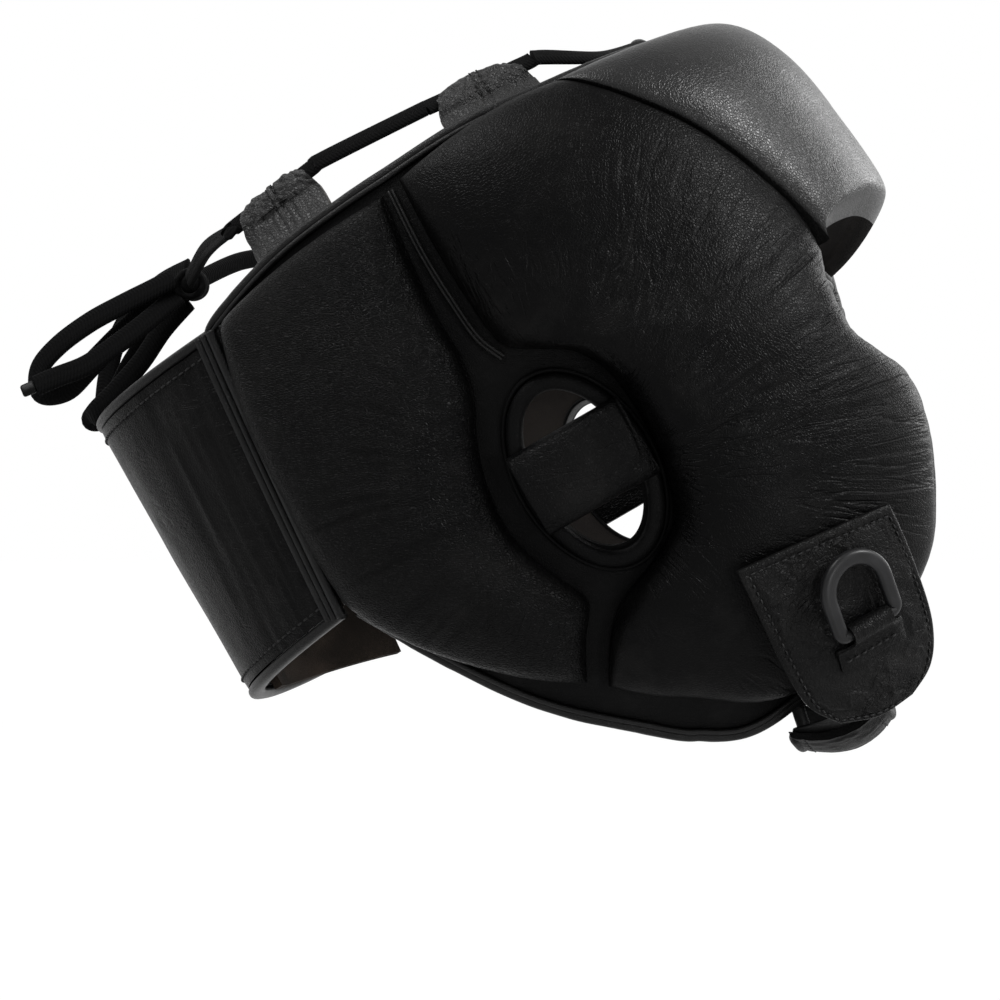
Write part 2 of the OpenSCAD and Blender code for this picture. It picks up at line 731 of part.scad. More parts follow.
module tab_hook_patch() {
  color(fastener) worn() tab_patch([0.55, 0.7, 0.85, 0.95], 0.08, tab_d - patch_gap);
}
module cheek_loop_patch() {
  color(fastener) worn()
    tab_patch([0.6, 0.72, 0.84, 0.92], 0.12, tab_d - patch_gap - hook_t - layer_gap);
}

// The pull ring in its own place: bar along x, plate along z, face along -y
bar_r = 2;
bore_r = bar_r + 0.05;
keeper_w = 14;
keeper_leg_w = 26;
keeper_r = bar_r + 1.6;
keeper_leg = 11;
ring_q = [52.9, -105.9];
ring_l = 26;
module on_tab() {
  p = lift(ring_q, tab_d + tab_t + keeper_r + layer_gap);
  n = outward(ring_q);
  across = unit(cross([0, 0, 1], n));
  up = cross(n, across);
  multmatrix([for (i = [0 : 2]) [across[i], -n[i], up[i], p[i]]]) children();
}
module ring_outline(w, l) {
  intersection() {
    translate([-w / 2, 0]) square([w, l]);
    union() {
      translate([0, l - w / 2]) circle(d = w, $fn = 48);
      translate([-w / 2, 0]) square([w, l - w / 2]);
    }
  }
}
ring_band = 4.4;
module pull_ring() {
  color(plastic) worn() on_tab() {
    rotate([90, 0, 0]) translate([0, 0, -pull_t / 2]) linear_extrude(pull_t) difference() {
      ring_outline(pull_w, ring_l);
      translate([0, -0.01]) ring_outline(pull_w - 2 * ring_band, ring_l - ring_band);
    }
    rotate([0, 90, 0]) cylinder(r = bar_r, h = pull_w - 2, center = true, $fn = 32);
  }
}
module ring_keeper() {
  color(leather) worn() on_tab()
    rotate([90, 0, 90]) {
      translate([0, 0, -keeper_w / 2]) linear_extrude(keeper_w) difference() {
        union() {
          circle(r = keeper_r, $fn = 32);
          translate([keeper_r - tab_t, -keeper_leg]) square([tab_t, keeper_leg]);
        }
        circle(r = bore_r, $fn = 32);
      }
      translate([keeper_r - tab_t, -keeper_leg, -keeper_leg_w / 2])
        cube([tab_t, keeper_leg - keeper_r, keeper_leg_w]);
    }
}

forehead_cover();
forehead_foam();
front_backing();
front_lining();
right_cheek_cover();
right_cheek_foam();
right_rear_cover();
right_rear_foam();
right_backing();
right_lining();
right_ear_ring();
right_ear_strap();
right_channel_strip();
left_cheek_cover();
left_cheek_foam();
left_rear_cover();
left_rear_foam();
left_backing();
left_lining();
left_ear_ring();
left_ear_strap();
left_channel_strip();
top_binding();
right_low_binding();
left_low_binding();
right_rear_binding();
left_rear_binding();
face_binding();
right_back_loop();
right_mid_loop();
left_back_loop();
left_mid_loop();
front_loop();
crown_lace();
lace_knot();
bow_loop_long();
bow_loop_short();
lace_end_long();
lace_end_short();
lace_tips();
rear_strap();
rear_strap_top_binding();
rear_strap_low_binding();
rear_hook_patch();
rear_under_strap();
rear_loop_patch();
chin_strap();
chin_anchor();
chin_tab();
tab_hook_patch();
cheek_loop_patch();
ring_keeper();
pull_ring();
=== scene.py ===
# Boxing headguard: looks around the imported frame
import math

import bpy
import numpy as np
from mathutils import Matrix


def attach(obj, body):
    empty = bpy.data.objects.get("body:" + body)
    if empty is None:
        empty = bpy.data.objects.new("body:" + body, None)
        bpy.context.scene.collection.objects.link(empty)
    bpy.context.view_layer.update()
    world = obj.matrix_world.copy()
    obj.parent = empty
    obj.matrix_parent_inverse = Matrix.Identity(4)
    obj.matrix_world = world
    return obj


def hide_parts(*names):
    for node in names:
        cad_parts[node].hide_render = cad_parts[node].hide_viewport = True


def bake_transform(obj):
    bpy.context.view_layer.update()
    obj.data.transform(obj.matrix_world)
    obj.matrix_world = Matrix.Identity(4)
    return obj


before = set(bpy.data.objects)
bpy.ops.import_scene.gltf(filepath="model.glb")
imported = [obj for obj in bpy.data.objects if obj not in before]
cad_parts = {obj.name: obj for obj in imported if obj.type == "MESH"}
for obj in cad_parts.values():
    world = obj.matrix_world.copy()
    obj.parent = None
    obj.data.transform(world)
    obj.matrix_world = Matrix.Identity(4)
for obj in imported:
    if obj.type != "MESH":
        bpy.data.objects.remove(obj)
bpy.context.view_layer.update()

scene = bpy.context.scene
scene.view_settings.view_transform = "Standard"

# Camera: level with the ear, a little in front of square to the right side
cameraPlace = {"turn": 6, "distance": 1.5, "aside": 0.0068, "drop": 0.034, "lens": 158.8, "sensor": 36}


def placeCamera():
    turn = math.radians(cameraPlace["turn"])
    data = bpy.data.cameras.new("camera")
    data.lens = cameraPlace["lens"]
    data.sensor_width = cameraPlace["sensor"]
    data.clip_end = 30
    camera = bpy.data.objects.new("camera", data)
    scene.collection.objects.link(camera)
    back = np.array([math.sin(turn), -math.cos(turn)]) * cameraPlace["distance"]
    aside = np.array([math.cos(turn), math.sin(turn)]) * cameraPlace["aside"]
    camera.location = (*(back - aside), -cameraPlace["drop"])
    camera.rotation_euler = (math.pi / 2, 0, turn)
    scene.camera = camera


placeCamera()
print("camera placed")

# Head cavity, level with the rim of the crown: millimetres and degrees, +X the face, -Y the right side.
# A taper has its middle height, the reach and power above it, and the reach and power below it
head = {"pitch": 30, "halfW": 78, "front": 103, "back": 112, "power": 2.35,
        "sideTaper": (30, 119, 2.9, 239, 2),
        "frontTaper": (22, 134, 3.2, 205, 2.8), "backTaper": (45, 125, 3, 250, 2)}
metre = 0.001
layers = {"lining": 2.2, "backing": 5.4, "gap": 0.3, "leather": 1.4, "hem": 3.4}
backingBase = layers["lining"] + layers["gap"]
padBase = backingBase + layers["backing"] + layers["gap"]


def taper(z, mid, up, upPower, down, downPower):
    # one, less the share of the reach above or below the middle raised to a power
    reach = np.where(z > mid, (z - mid) / up, (mid - z) / down)
    return 1 - reach ** np.where(z > mid, upPower, downPower)


def rootOf(a):
    return np.sign(a) * np.abs(a) ** (2 / head["power"])


def halfWidth(z):
    return head["halfW"] * taper(z, *head["sideTaper"])


def reachAt(ahead, z):
    # the form's reach to the front where ahead is true, and otherwise to the back
    return np.where(ahead, head["front"] * taper(z, *head["frontTaper"]),
                    head["back"] * taper(z, *head["backTaper"]))


def onHead(a, z):
    # level superellipse whose reaches to the front, back and sides taper with height z
    a = np.radians(np.asarray(a, float))
    z = np.asarray(z, float)
    x = reachAt(np.cos(a) >= 0, z) * rootOf(np.cos(a))
    return np.stack(np.broadcast_arrays(x, -halfWidth(z) * rootOf(np.sin(a)), z), -1)


def unit(v):
    return v / np.linalg.norm(v, axis=-1, keepdims=True)


def outward(q):
    # cross product of the steps round and down the form
    a, z = q[..., 0], q[..., 1]
    return unit(np.cross(onHead(a + 1, z) - onHead(a - 1, z), onHead(a, z - 1) - onHead(a, z + 1)))


def lift(q, d):
    # the place at angle and height q, moved out by d
    q = np.asarray(q, float)
    return onHead(q[..., 0], q[..., 1]) + np.asarray(d)[..., None] * outward(q)


def sideAngle(x, z):
    # the angle whose place on the form has that x
    f = x / reachAt(x > 0, z)
    return np.degrees(np.arccos(np.sign(f) * np.abs(f) ** (head["power"] / 2)))


def turned(p):
    # the level frame turned nose up by the pitch
    c, s = math.cos(math.radians(head["pitch"])), math.sin(math.radians(head["pitch"]))
    return np.stack([p[..., 0] * c - p[..., 2] * s, p[..., 1], p[..., 0] * s + p[..., 2] * c], -1)


def worn(p):
    return turned(p) * metre


# Curves through a few points, and patches between four of them
def along(points, t):
    # cubic through the points, each piece's ends sloping as its neighbours do
    p = np.asarray(points, float)
    t = np.asarray(t, float)
    last = len(p) - 1
    k = np.clip(np.floor(t * last).astype(int), 0, last - 1)
    f = (t * last - k)[..., None]
    p0, p1, p2, p3 = p[np.maximum(k - 1, 0)], p[k], p[k + 1], p[np.minimum(k + 2, last)]
    return p1 + 0.5 * f * (p2 - p0 + f * (2 * p0 - 5 * p1 + 4 * p2 - p3 + f * (3 * (p1 - p2) + p3 - p0)))


def spot(c, s, t):
    # patch filled between its two rising lines c[0], c[1] and its low and top lines c[2], c[3]
    s, t = np.broadcast_arrays(np.asarray(s, float), np.asarray(t, float))
    s1, t1 = s[..., None], t[..., None]
    low, top = np.asarray(c[2], float), np.asarray(c[3], float)
    sides = (1 - t1) * along(c[0], s) + t1 * along(c[1], s)
    ends = (1 - s1) * along(low, t) + s1 * along(top, t)
    corners = (1 - s1) * ((1 - t1) * low[0] + t1 * low[-1]) + s1 * ((1 - t1) * top[0] + t1 * top[-1])
    return sides + ends - corners


def even(n):
    return np.linspace(0, 1, n + 1)


def edgy(n):
    return (1 - np.cos(np.pi * even(n))) / 2


def roll(t, k):
    return np.sqrt(np.maximum(0, 1 - np.abs(2 * t - 1) ** k))


def ease(t):
    t = np.clip(t, 0, 1)
    return t * t * (3 - 2 * t)


def hump(distance, width):
    # bell shape, one at no distance
    return np.exp(-(distance / width) ** 2)


def travelled(path):
    # length of the path up to each of its points
    return np.concatenate([[0], np.cumsum(np.linalg.norm(np.diff(path, axis=0), axis=1))])


def flatNormal(line):
    # square to each stretch of a flat line, on its right
    way = unit(np.gradient(line, axis=0))
    return np.stack([way[:, 1], -way[:, 0]], -1)


# Random heights and creases, the same each run
def lattice(p, seed):
    # hashed heights at the corners of unit cells, mixed by eased shares, from -1 to 1
    cell = np.floor(p).astype(np.int64)
    f = ease(p - cell)
    total = np.zeros(p.shape[:-1])
    for corner in np.ndindex(2, 2, 2):
        k = cell + np.array(corner)
        hashed = k[..., 0] * 73856093 ^ k[..., 1] * 19349663 ^ k[..., 2] * 83492791 ^ seed * 40503
        hashed = (hashed ^ hashed >> 13) * 1274126177 & 0x7FFFFFFF
        share = np.prod(np.where(np.array(corner) == 1, f, 1 - f), axis=-1)
        total += share * ((hashed >> 8 & 0xFFFF) / 32767.5 - 1)
    return total


def rumple(x, y, seed, octaves=2):
    # lattice heights of a flat field, each finer layer half as high
    p = np.stack(np.broadcast_arrays(x, y, 0.37 * seed + 0.0 * x), -1)
    return sum(lattice(p * 2 ** k, seed + 11 * k) * 0.5 ** k for k in range(octaves))


def creases(across, down, seed, width=0.16):
    # thin valleys where a stretched random height changes sign
    return hump(rumple(across, down, seed), width)


# Meshes from grids
def gridFaces(rows, cols, start=0, closedRows=False, closedCols=False):
    index = start + np.arange(rows * cols).reshape(rows, cols)
    if closedRows:
        index = np.vstack([index, index[:1]])
    if closedCols:
        index = np.hstack([index, index[:, :1]])
    return np.stack([index[:-1, :-1], index[:-1, 1:], index[1:, 1:], index[1:, :-1]], -1).reshape(-1, 4)


def rimOf(grid):
    # the border of a grid, once round
    return np.concatenate([grid[0, :-1], grid[:-1, -1], grid[-1, :0:-1], grid[:0:-1, 0]])


def shell(top, bottom, loops=()):
    # closed solid: a top grid, rings of wall under its rim, and a bottom grid
    rows, cols = top.shape[:2]
    n = rows * cols
    points = np.concatenate([top.reshape(-1, 3), *loops, bottom.reshape(-1, 3)])
    rim = rimOf(np.arange(n).reshape(rows, cols))
    m = len(rim)
    chain = [rim, *[n + k * m + np.arange(m) for k in range(len(loops))], n + len(loops) * m + rim]
    walls = [np.stack([a, np.roll(a, -1), np.roll(b, -1), b], -1) for a, b in zip(chain[:-1], chain[1:])]
    under = gridFaces(rows, cols, n + len(loops) * m)
    return points, [np.concatenate([gridFaces(rows, cols)[:, ::-1], *walls, under])]


def solid(top, bottom, side=1, loops=()):
    # a shell of the level frame, on the right side or mirrored to the left, as it is worn
    flip = np.array([1, side, 1])
    points, faces = shell(top * flip, bottom * flip, [ring * flip for ring in loops])
    return worn(points), faces


def tube(rings, closed=False):
    # closed solid carried through rings of points, with flat ends unless it closes on itself
    m, n = rings.shape[:2]
    faces = [gridFaces(m, n, closedRows=closed, closedCols=True)]
    if not closed:
        faces.append(np.stack([np.arange(n)[::-1], (m - 1) * n + np.arange(n)]))
    return rings.reshape(-1, 3), faces


def joined(*shapes):
    points, faces, start = [], [], 0
    for p, f in shapes:
        points.append(p)
        faces += [face + start for face in f]
        start += len(p)
    return np.concatenate(points), faces


def outFacing(points, faces):
    # a closed solid's signed volume tells whether its faces point out
    volume = 0
    for f in faces:
        for k in range(1, f.shape[1] - 1):
            a, b, c = points[f[:, 0]], points[f[:, k]], points[f[:, k + 1]]
            volume += np.einsum("ij,ij->", a, np.cross(b, c))
    return faces if volume > 0 else [f[:, ::-1] for f in faces]


def makePiece(name, shape, look, body="root", stands=(), sharp=None, uv=None, second=None):
    # one mesh object in metres, riding on its body and standing for its nodes
    points, faces = shape
    faces = outFacing(points, faces)
    mesh = bpy.data.meshes.new(name)
    loops = np.concatenate([f.ravel() for f in faces])
    sizes = np.concatenate([np.full(len(f), f.shape[1]) for f in faces])
    mesh.vertices.add(len(points))
    mesh.vertices.foreach_set("co", points.astype(np.float32).ravel())
    mesh.loops.add(len(loops))
    mesh.loops.foreach_set("vertex_index", loops.astype(np.int32))
    mesh.polygons.add(len(sizes))
    mesh.polygons.foreach_set("loop_start", (np.cumsum(sizes) - sizes).astype(np.int32))
    mesh.polygons.foreach_set("use_smooth", np.ones(len(sizes), bool))
    mesh.materials.append(finish[look])
    if uv is not None:
        layer = mesh.uv_layers.new(name="length")
        layer.data.foreach_set("uv", uv[loops].astype(np.float32).ravel())
    if second is not None:
        # the faces whose points are all marked take another finish
        marked = np.concatenate([second[1][f].all(axis=1) for f in faces])
        mesh.materials.append(finish[second[0]])
        mesh.polygons.foreach_set("material_index", marked.astype(np.int32))
    mesh.update(calc_edges=True)
    mesh.validate()
    if sharp:
        mesh.set_sharp_from_angle(angle=math.radians(sharp))
    piece = bpy.data.objects.new(name, mesh)
    scene.collection.objects.link(piece)
    if body:
        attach(piece, body)
    if stands:
        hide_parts(*stands)
    return piece


def carried(path, facing, profile, closed=False):
    # a profile of (sideways, outward) points carried along a path whose outward way is facing
    if closed:
        way = unit(np.roll(path, -1, 0) - np.roll(path, 1, 0))
    else:
        way = unit(np.gradient(path, axis=0))
    aside = unit(np.cross(way, facing))
    out = np.cross(aside, way)
    profile = np.broadcast_to(profile, (len(path), *profile.shape[-2:]))
    return path[:, None] + aside[:, None] * profile[..., :1] + out[:, None] * profile[..., 1:]


def oval(halfAside, halfOut, sides, shift=0, power=2):
    # superellipse round a point that lies aside by shift
    a = 2 * np.pi * (np.arange(sides) + 0.5) / sides
    c, s = np.cos(a), np.sin(a)
    return np.stack([shift + halfAside * np.sign(s) * np.abs(s) ** (2 / power),
                     halfOut * np.sign(c) * np.abs(c) ** (2 / power)], -1)


# Shader parts. A value that comes from another node is linked, and any other is set
def put(tree, value, socket):
    if isinstance(value, bpy.types.NodeSocket):
        tree.links.new(value, socket)
    else:
        socket.default_value = value


def node(tree, kind, settings=None, **values):
    made = tree.nodes.new("ShaderNode" + kind)
    for key, value in (settings or {}).items():
        setattr(made, key, value)
    for key, value in values.items():
        put(tree, value, made.inputs[key.replace("_", " ")])
    return made


def maths(tree, operation, *values, kind="Math"):
    made = node(tree, kind, {"operation": operation})
    for value, socket in zip(values, made.inputs):
        put(tree, value, socket)
    return made.outputs[0]


def ranged(tree, value, low, high):
    # smooth step from nought at the low value to one at the high one
    return node(tree, "MapRange", {"interpolation_type": "SMOOTHSTEP"}, Value=value, From_Min=low,
                From_Max=high).outputs[0]


def mixed(tree, factor, a, b):
    made = node(tree, "Mix", {"data_type": "RGBA"}, Factor=factor)
    for value, socket in ((a, made.inputs["A"]), (b, made.inputs["B"])):
        put(tree, (*value, 1) if isinstance(value, tuple) else value, socket)
    return made.outputs["Result"]


def bumped(tree, height, distance, **under):
    return node(tree, "Bump", Height=height, Distance=distance, **under).outputs["Normal"]


def newGroup(name, outputs, **inputs):
    # a group that reads a place and named numbers, and puts out named values
    tree = bpy.data.node_groups.new(name, "ShaderNodeTree")
    tree.interface.new_socket(name="Place", in_out="INPUT", socket_type="NodeSocketVector")
    for key, value in inputs.items():
        made = tree.interface.new_socket(name=key.replace("_", " "), in_out="INPUT",
                                         socket_type="NodeSocketFloat")
        made.default_value = value
    for key in outputs:
        tree.interface.new_socket(name=key, in_out="OUTPUT", socket_type="NodeSocketFloat")
    return tree, tree.nodes.new("NodeGroupInput").outputs, tree.nodes.new("NodeGroupOutput").inputs


def grainGroup():
    # leather grain: pebbles from the distance to cell borders, pulled along one way, over a fine nap
    tree, start, end = newGroup("leatherGrain", ("Height", "Hollow", "Cloud"),
                                Pebbles_per_metre=900.0, Stretch=1.0, Seed=0.0)
    bend = node(tree, "TexNoise", Vector=start["Place"], Scale=180.0, Detail=2.0).outputs["Color"]
    bent = maths(tree, "MULTIPLY_ADD", bend, (0.0022, 0.0022, 0.0022), start["Place"], kind="VectorMath")
    squeeze = node(tree, "CombineXYZ", X=1.0, Y=1.0, Z=start["Stretch"]).outputs[0]
    shaped = maths(tree, "MULTIPLY", bent, squeeze, kind="VectorMath")
    cells = node(tree, "TexVoronoi", {"feature": "DISTANCE_TO_EDGE"}, Vector=shaped, Randomness=0.95,
                 Scale=start["Pebbles per metre"])
    pebble = ranged(tree, cells.outputs["Distance"], 0.0, 0.26)
    nap = node(tree, "TexNoise", Vector=shaped, Scale=2600.0, Detail=2.0)
    cloud = node(tree, "TexNoise", {"noise_dimensions": "4D"}, Vector=start["Place"], W=start["Seed"],
                 Scale=26.0, Detail=4.0, Roughness=0.6)
    put(tree, maths(tree, "MULTIPLY_ADD", nap.outputs["Fac"], 0.35, pebble), end["Height"])
    put(tree, maths(tree, "SUBTRACT", 1.0, pebble), end["Hollow"])
    put(tree, cloud.outputs["Fac"], end["Cloud"])
    return tree


def creaseGroup():
    # fine creases: a stretched, bent noise folded about its middle, in patches
    tree, start, end = newGroup("leatherCrease", ["Height"], Turn=0.0, Folds_per_metre=260.0, Length=5.0)
    spin = node(tree, "VectorRotate", {"rotation_type": "Y_AXIS"}, Vector=start["Place"], Angle=start["Turn"])
    stretch = node(tree, "CombineXYZ", X=maths(tree, "DIVIDE", 1.0, start["Length"]), Y=0.4, Z=1.0)
    shaped = maths(tree, "MULTIPLY", spin.outputs[0], stretch.outputs[0], kind="VectorMath")
    folds = node(tree, "TexNoise", Vector=shaped, Scale=start["Folds per metre"], Detail=3.0, Roughness=0.55,
                 Distortion=0.6)
    fold = maths(tree, "ABSOLUTE", maths(tree, "SUBTRACT", folds.outputs["Fac"], 0.5))
    patches = node(tree, "TexNoise", Vector=start["Place"], Scale=34.0, Detail=3.0, Roughness=0.6)
    valley = maths(tree, "SUBTRACT", 1.0, ranged(tree, fold, 0.0, 0.07))
    deep = maths(tree, "MULTIPLY", valley, ranged(tree, patches.outputs["Fac"], 0.42, 0.62))
    put(tree, maths(tree, "SUBTRACT", 1.0, deep), end["Height"])
    return tree


def dustGroup():
    # lint and scuffs: sparse soft specks and a cloudy mask
    tree, start, end = newGroup("dust", ["Mask"], Amount=0.3)
    specks = node(tree, "TexVoronoi", Vector=start["Place"], Scale=420.0)
    cloud = node(tree, "TexNoise", Vector=start["Place"], Scale=38.0, Detail=5.0, Roughness=0.65)
    speck = ranged(tree, specks.outputs["Distance"], 0.1, 0.04)
    patchy = ranged(tree, cloud.outputs["Fac"], 0.5, 0.72)
    both = maths(tree, "MULTIPLY_ADD", speck, 0.5, maths(tree, "MULTIPLY", patchy, 0.6))
    put(tree, maths(tree, "MULTIPLY", both, start["Amount"]), end["Mask"])
    return tree


groups = {"grain": grainGroup(), "crease": creaseGroup(), "dust": dustGroup()}


def grouped(tree, name, **values):
    return node(tree, "Group", {"node_tree": groups[name]}, **values).outputs


def newMaterial(name):
    made = bpy.data.materials.new(name)
    made.use_nodes = True
    tree = made.node_tree
    return made, tree, node(tree, "TexCoord").outputs["Object"]


def finished(tree, **values):
    # values of the material's own shader
    for key, value in values.items():
        put(tree, value, tree.nodes["Principled BSDF"].inputs[key.replace("_", " ")])


leathers = {
    "coverLeather": {"base": (0.0015, 0.0015, 0.0016), "worn": (0.0040, 0.0039, 0.0039), "rough": 0.31,
                     "pebbles": 950.0, "relief": 0.00011, "folds": 260.0, "foldRelief": 0.00022,
                     "specular": 0.05, "turn": 0.2, "dust": 0.15, "seed": 1.0},
    "padLeather": {"base": (0.0011, 0.0011, 0.0012), "worn": (0.0028, 0.0027, 0.0027), "rough": 0.28,
                   "pebbles": 1000.0, "relief": 0.00007, "folds": 280.0, "foldRelief": 0.00034,
                   "specular": 0.042, "turn": 0.0, "dust": 0.12, "seed": 1.0, "mapped": True, "length": 4.0},
    "rearLeather": {"base": (0.0013, 0.0013, 0.0014), "worn": (0.0034, 0.0033, 0.0033), "rough": 0.28,
                    "pebbles": 620.0, "relief": 0.00030, "folds": 300.0, "foldRelief": 0.00030,
                    "specular": 0.048, "turn": 0.0, "dust": 0.12, "seed": 5.0, "mapped": True, "length": 3.0,
                    "stretch": 2.4},
    "browLeather": {"base": (0.0028, 0.0028, 0.0030), "worn": (0.0060, 0.0059, 0.0058), "rough": 0.28,
                    "pebbles": 1050.0, "relief": 0.00006, "folds": 200.0, "foldRelief": 0.00004,
                    "specular": 0.20, "turn": 0.7, "dust": 0.1, "seed": 2.0},
    "bindingLeather": {"base": (0.0024, 0.0024, 0.0026), "worn": (0.0060, 0.0059, 0.0058), "rough": 0.33,
                       "pebbles": 1300.0, "relief": 0.00006, "folds": 520.0, "foldRelief": 0.00005,
                       "specular": 0.13, "turn": 0.0, "dust": 0.15, "seed": 3.0},
    "backingLeather": {"base": (0.0018, 0.0018, 0.0019), "worn": (0.0040, 0.0040, 0.0040), "rough": 0.40,
                       "pebbles": 1300.0, "relief": 0.00006, "folds": 420.0, "foldRelief": 0.00006,
                       "specular": 0.04, "turn": 0.0, "dust": 0.1, "seed": 6.0},
    "tabLeather": {"base": (0.0020, 0.0020, 0.0021), "worn": (0.0060, 0.0059, 0.0058), "rough": 0.33,
                   "pebbles": 820.0, "relief": 0.00010, "folds": 340.0, "foldRelief": 0.00030,
                   "specular": 0.062, "turn": 0.9, "dust": 0.2, "seed": 7.0, "length": 2.5},
    "loopLeather": {"base": (0.0055, 0.0055, 0.0056), "worn": (0.0140, 0.0138, 0.0136), "rough": 0.38,
                    "pebbles": 900.0, "relief": 0.00014, "folds": 420.0, "foldRelief": 0.00030,
                    "specular": 0.20, "turn": 1.2, "dust": 0.3, "seed": 4.0, "length": 2.0}}


def leatherMaterial(name):
    look = leathers[name]
    made, tree, place = newMaterial(name)
    grain = grouped(tree, "grain", Place=place, Pebbles_per_metre=look["pebbles"], Seed=look["seed"],
                    Stretch=look.get("stretch", 1.0))
    way = place
    if look.get("mapped"):
        # across the creases on the map's first way, along them on its second
        chart = node(tree, "SeparateXYZ", Vector=node(tree, "UVMap", {"uv_map": "length"}).outputs[0]).outputs
        way = node(tree, "CombineXYZ", X=chart["Y"], Z=chart["X"]).outputs[0]
    crease = grouped(tree, "crease", Place=way, Turn=look["turn"], Folds_per_metre=look["folds"],
                     Length=look.get("length", 5.0))
    dust = grouped(tree, "dust", Place=place, Amount=look["dust"])
    toned = mixed(tree, ranged(tree, grain["Cloud"], 0.35, 0.75), look["base"], look["worn"])
    # painted shade: the grain's hollows are darkened up to halfway towards near black
    hollowShaded = mixed(tree, maths(tree, "MULTIPLY", grain["Hollow"], 0.5), toned, (0.001, 0.001, 0.001))
    rough = maths(tree, "MULTIPLY_ADD", grain["Cloud"], 0.14, look["rough"] - 0.07)
    folded = bumped(tree, crease["Height"], look["foldRelief"])
    finished(tree, Base_Color=mixed(tree, dust["Mask"], hollowShaded, (0.03, 0.029, 0.028)),
             Roughness=maths(tree, "MULTIPLY_ADD", grain["Hollow"], 0.12, rough),
             Specular_IOR_Level=look["specular"],
             Normal=bumped(tree, grain["Height"], look["relief"], Normal=folded))
    return made


cloths = {
    "suedeLining": {"base": (0.010, 0.0085, 0.0078), "high": (0.022, 0.019, 0.017), "nap": 2400.0,
                    "cloud": 30.0, "relief": 0.00025, "rough": 0.92, "specular": 0.05},
    "rawEdge": {"base": (0.030, 0.028, 0.026), "high": (0.085, 0.080, 0.076), "nap": 1600.0,
                "cloud": 160.0, "relief": 0.00020, "rough": 0.9},
    # the brow's underside lining, darker than the suede lining elsewhere: partly its own colour, partly
    # painted shade under the brow
    "shadedBrowLining": {"base": (0.0022, 0.0020, 0.0019), "high": (0.0060, 0.0054, 0.0050), "nap": 2200.0,
                   "cloud": 45.0, "relief": 0.00020, "rough": 0.94, "specular": 0.015, "sheen": 0.0},
    "brownSuede": {"base": (0.0060, 0.0048, 0.0039), "high": (0.022, 0.0165, 0.0130), "nap": 1900.0,
                   "cloud": 42.0, "relief": 0.00035, "rough": 0.90, "specular": 0.03, "sheen": 0.02},
    "foamCore": {"base": (0.055, 0.055, 0.058), "high": (0.085, 0.085, 0.088), "nap": 1500.0,
                 "cloud": 60.0, "relief": 0.0004, "rough": 0.95},
    "hookPile": {"base": (0.004, 0.004, 0.004), "high": (0.012, 0.012, 0.012), "nap": 1700.0,
                 "cloud": 90.0, "relief": 0.0005, "rough": 0.85}}


def napMaterial(name):
    # suede, foam and pile: a fine nap under cloudy strokes of tone
    look = cloths[name]
    made, tree, place = newMaterial(name)
    nap = node(tree, "TexNoise", Vector=place, Scale=look["nap"], Detail=3.0, Roughness=0.7).outputs["Fac"]
    cloud = node(tree, "TexNoise", Vector=place, Scale=look["cloud"], Detail=5.0, Roughness=0.6,
                 Distortion=0.8)
    strokes = maths(tree, "MULTIPLY_ADD", nap, 0.4, maths(tree, "MULTIPLY", cloud.outputs["Fac"], 0.6))
    finished(tree, Base_Color=mixed(tree, ranged(tree, strokes, 0.38, 0.66), look["base"], look["high"]),
             Normal=bumped(tree, nap, look["relief"]), Roughness=look["rough"],
             Specular_IOR_Level=look.get("specular", 0.1), Sheen_Weight=look.get("sheen", 0.06),
             Sheen_Roughness=0.5)
    return made


def laceMaterial():
    # flat braid: two slanted rows of ridges that meet in the middle of the width
    made, tree, place = newMaterial("braidedLace")
    chart = node(tree, "SeparateXYZ", Vector=node(tree, "UVMap", {"uv_map": "length"}).outputs[0]).outputs
    half = maths(tree, "SUBTRACT", maths(tree, "FRACT", maths(tree, "MULTIPLY", chart["Y"], 2.0)), 0.5)
    slant = maths(tree, "MULTIPLY", maths(tree, "ABSOLUTE", half), 22.0)
    wave = maths(tree, "SINE", maths(tree, "MULTIPLY_ADD", chart["X"], 5200.0, slant))
    rows = maths(tree, "SINE", maths(tree, "MULTIPLY", chart["Y"], 75.0))
    height = maths(tree, "MULTIPLY_ADD", rows, 0.3, wave)
    fuzz = node(tree, "TexNoise", Vector=place, Scale=2200.0, Detail=2.0)
    # painted shade and highlight: the braid's colour is darker in the grooves between its ridges and lighter
    # on their tops
    tone = mixed(tree, ranged(tree, height, -1.0, 1.2), (0.0007, 0.0007, 0.0008), (0.0017, 0.0017, 0.0018))
    under = bumped(tree, fuzz.outputs["Fac"], 0.00010)
    finished(tree, Base_Color=tone, Normal=bumped(tree, height, 0.00006, Normal=under), Roughness=0.8,
             Specular_IOR_Level=0.04, Sheen_Weight=0.015)
    return made


def plasticMaterial(name, base, rough, relief, specular):
    made, tree, place = newMaterial(name)
    skin = node(tree, "TexNoise", Vector=place, Scale=1400.0, Detail=3.0, Roughness=0.6)
    cloud = node(tree, "TexNoise", Vector=place, Scale=70.0, Detail=4.0).outputs["Fac"]
    high = tuple(1.9 * channel for channel in base)
    finished(tree, Base_Color=mixed(tree, ranged(tree, cloud, 0.35, 0.7), base, high),
             Roughness=maths(tree, "MULTIPLY_ADD", cloud, 0.2, rough - 0.1),
             Normal=bumped(tree, skin.outputs["Fac"], relief), Specular_IOR_Level=specular)
    return made


def threadMaterial():
    # twisted thread: slanted ridges along its own length
    made, tree, place = newMaterial("waxedThread")
    twist = node(tree, "TexWave", {"bands_direction": "DIAGONAL"}, Vector=place, Scale=900.0,
                 Distortion=1.0).outputs["Fac"]
    # painted shade and highlight: the thread's colour follows its twist, darker in the grooves and lighter on
    # the ridges
    finished(tree, Base_Color=mixed(tree, twist, (0.0016, 0.0016, 0.0017), (0.009, 0.009, 0.0092)),
             Normal=bumped(tree, twist, 0.00008), Roughness=0.6, Specular_IOR_Level=0.2)
    return made


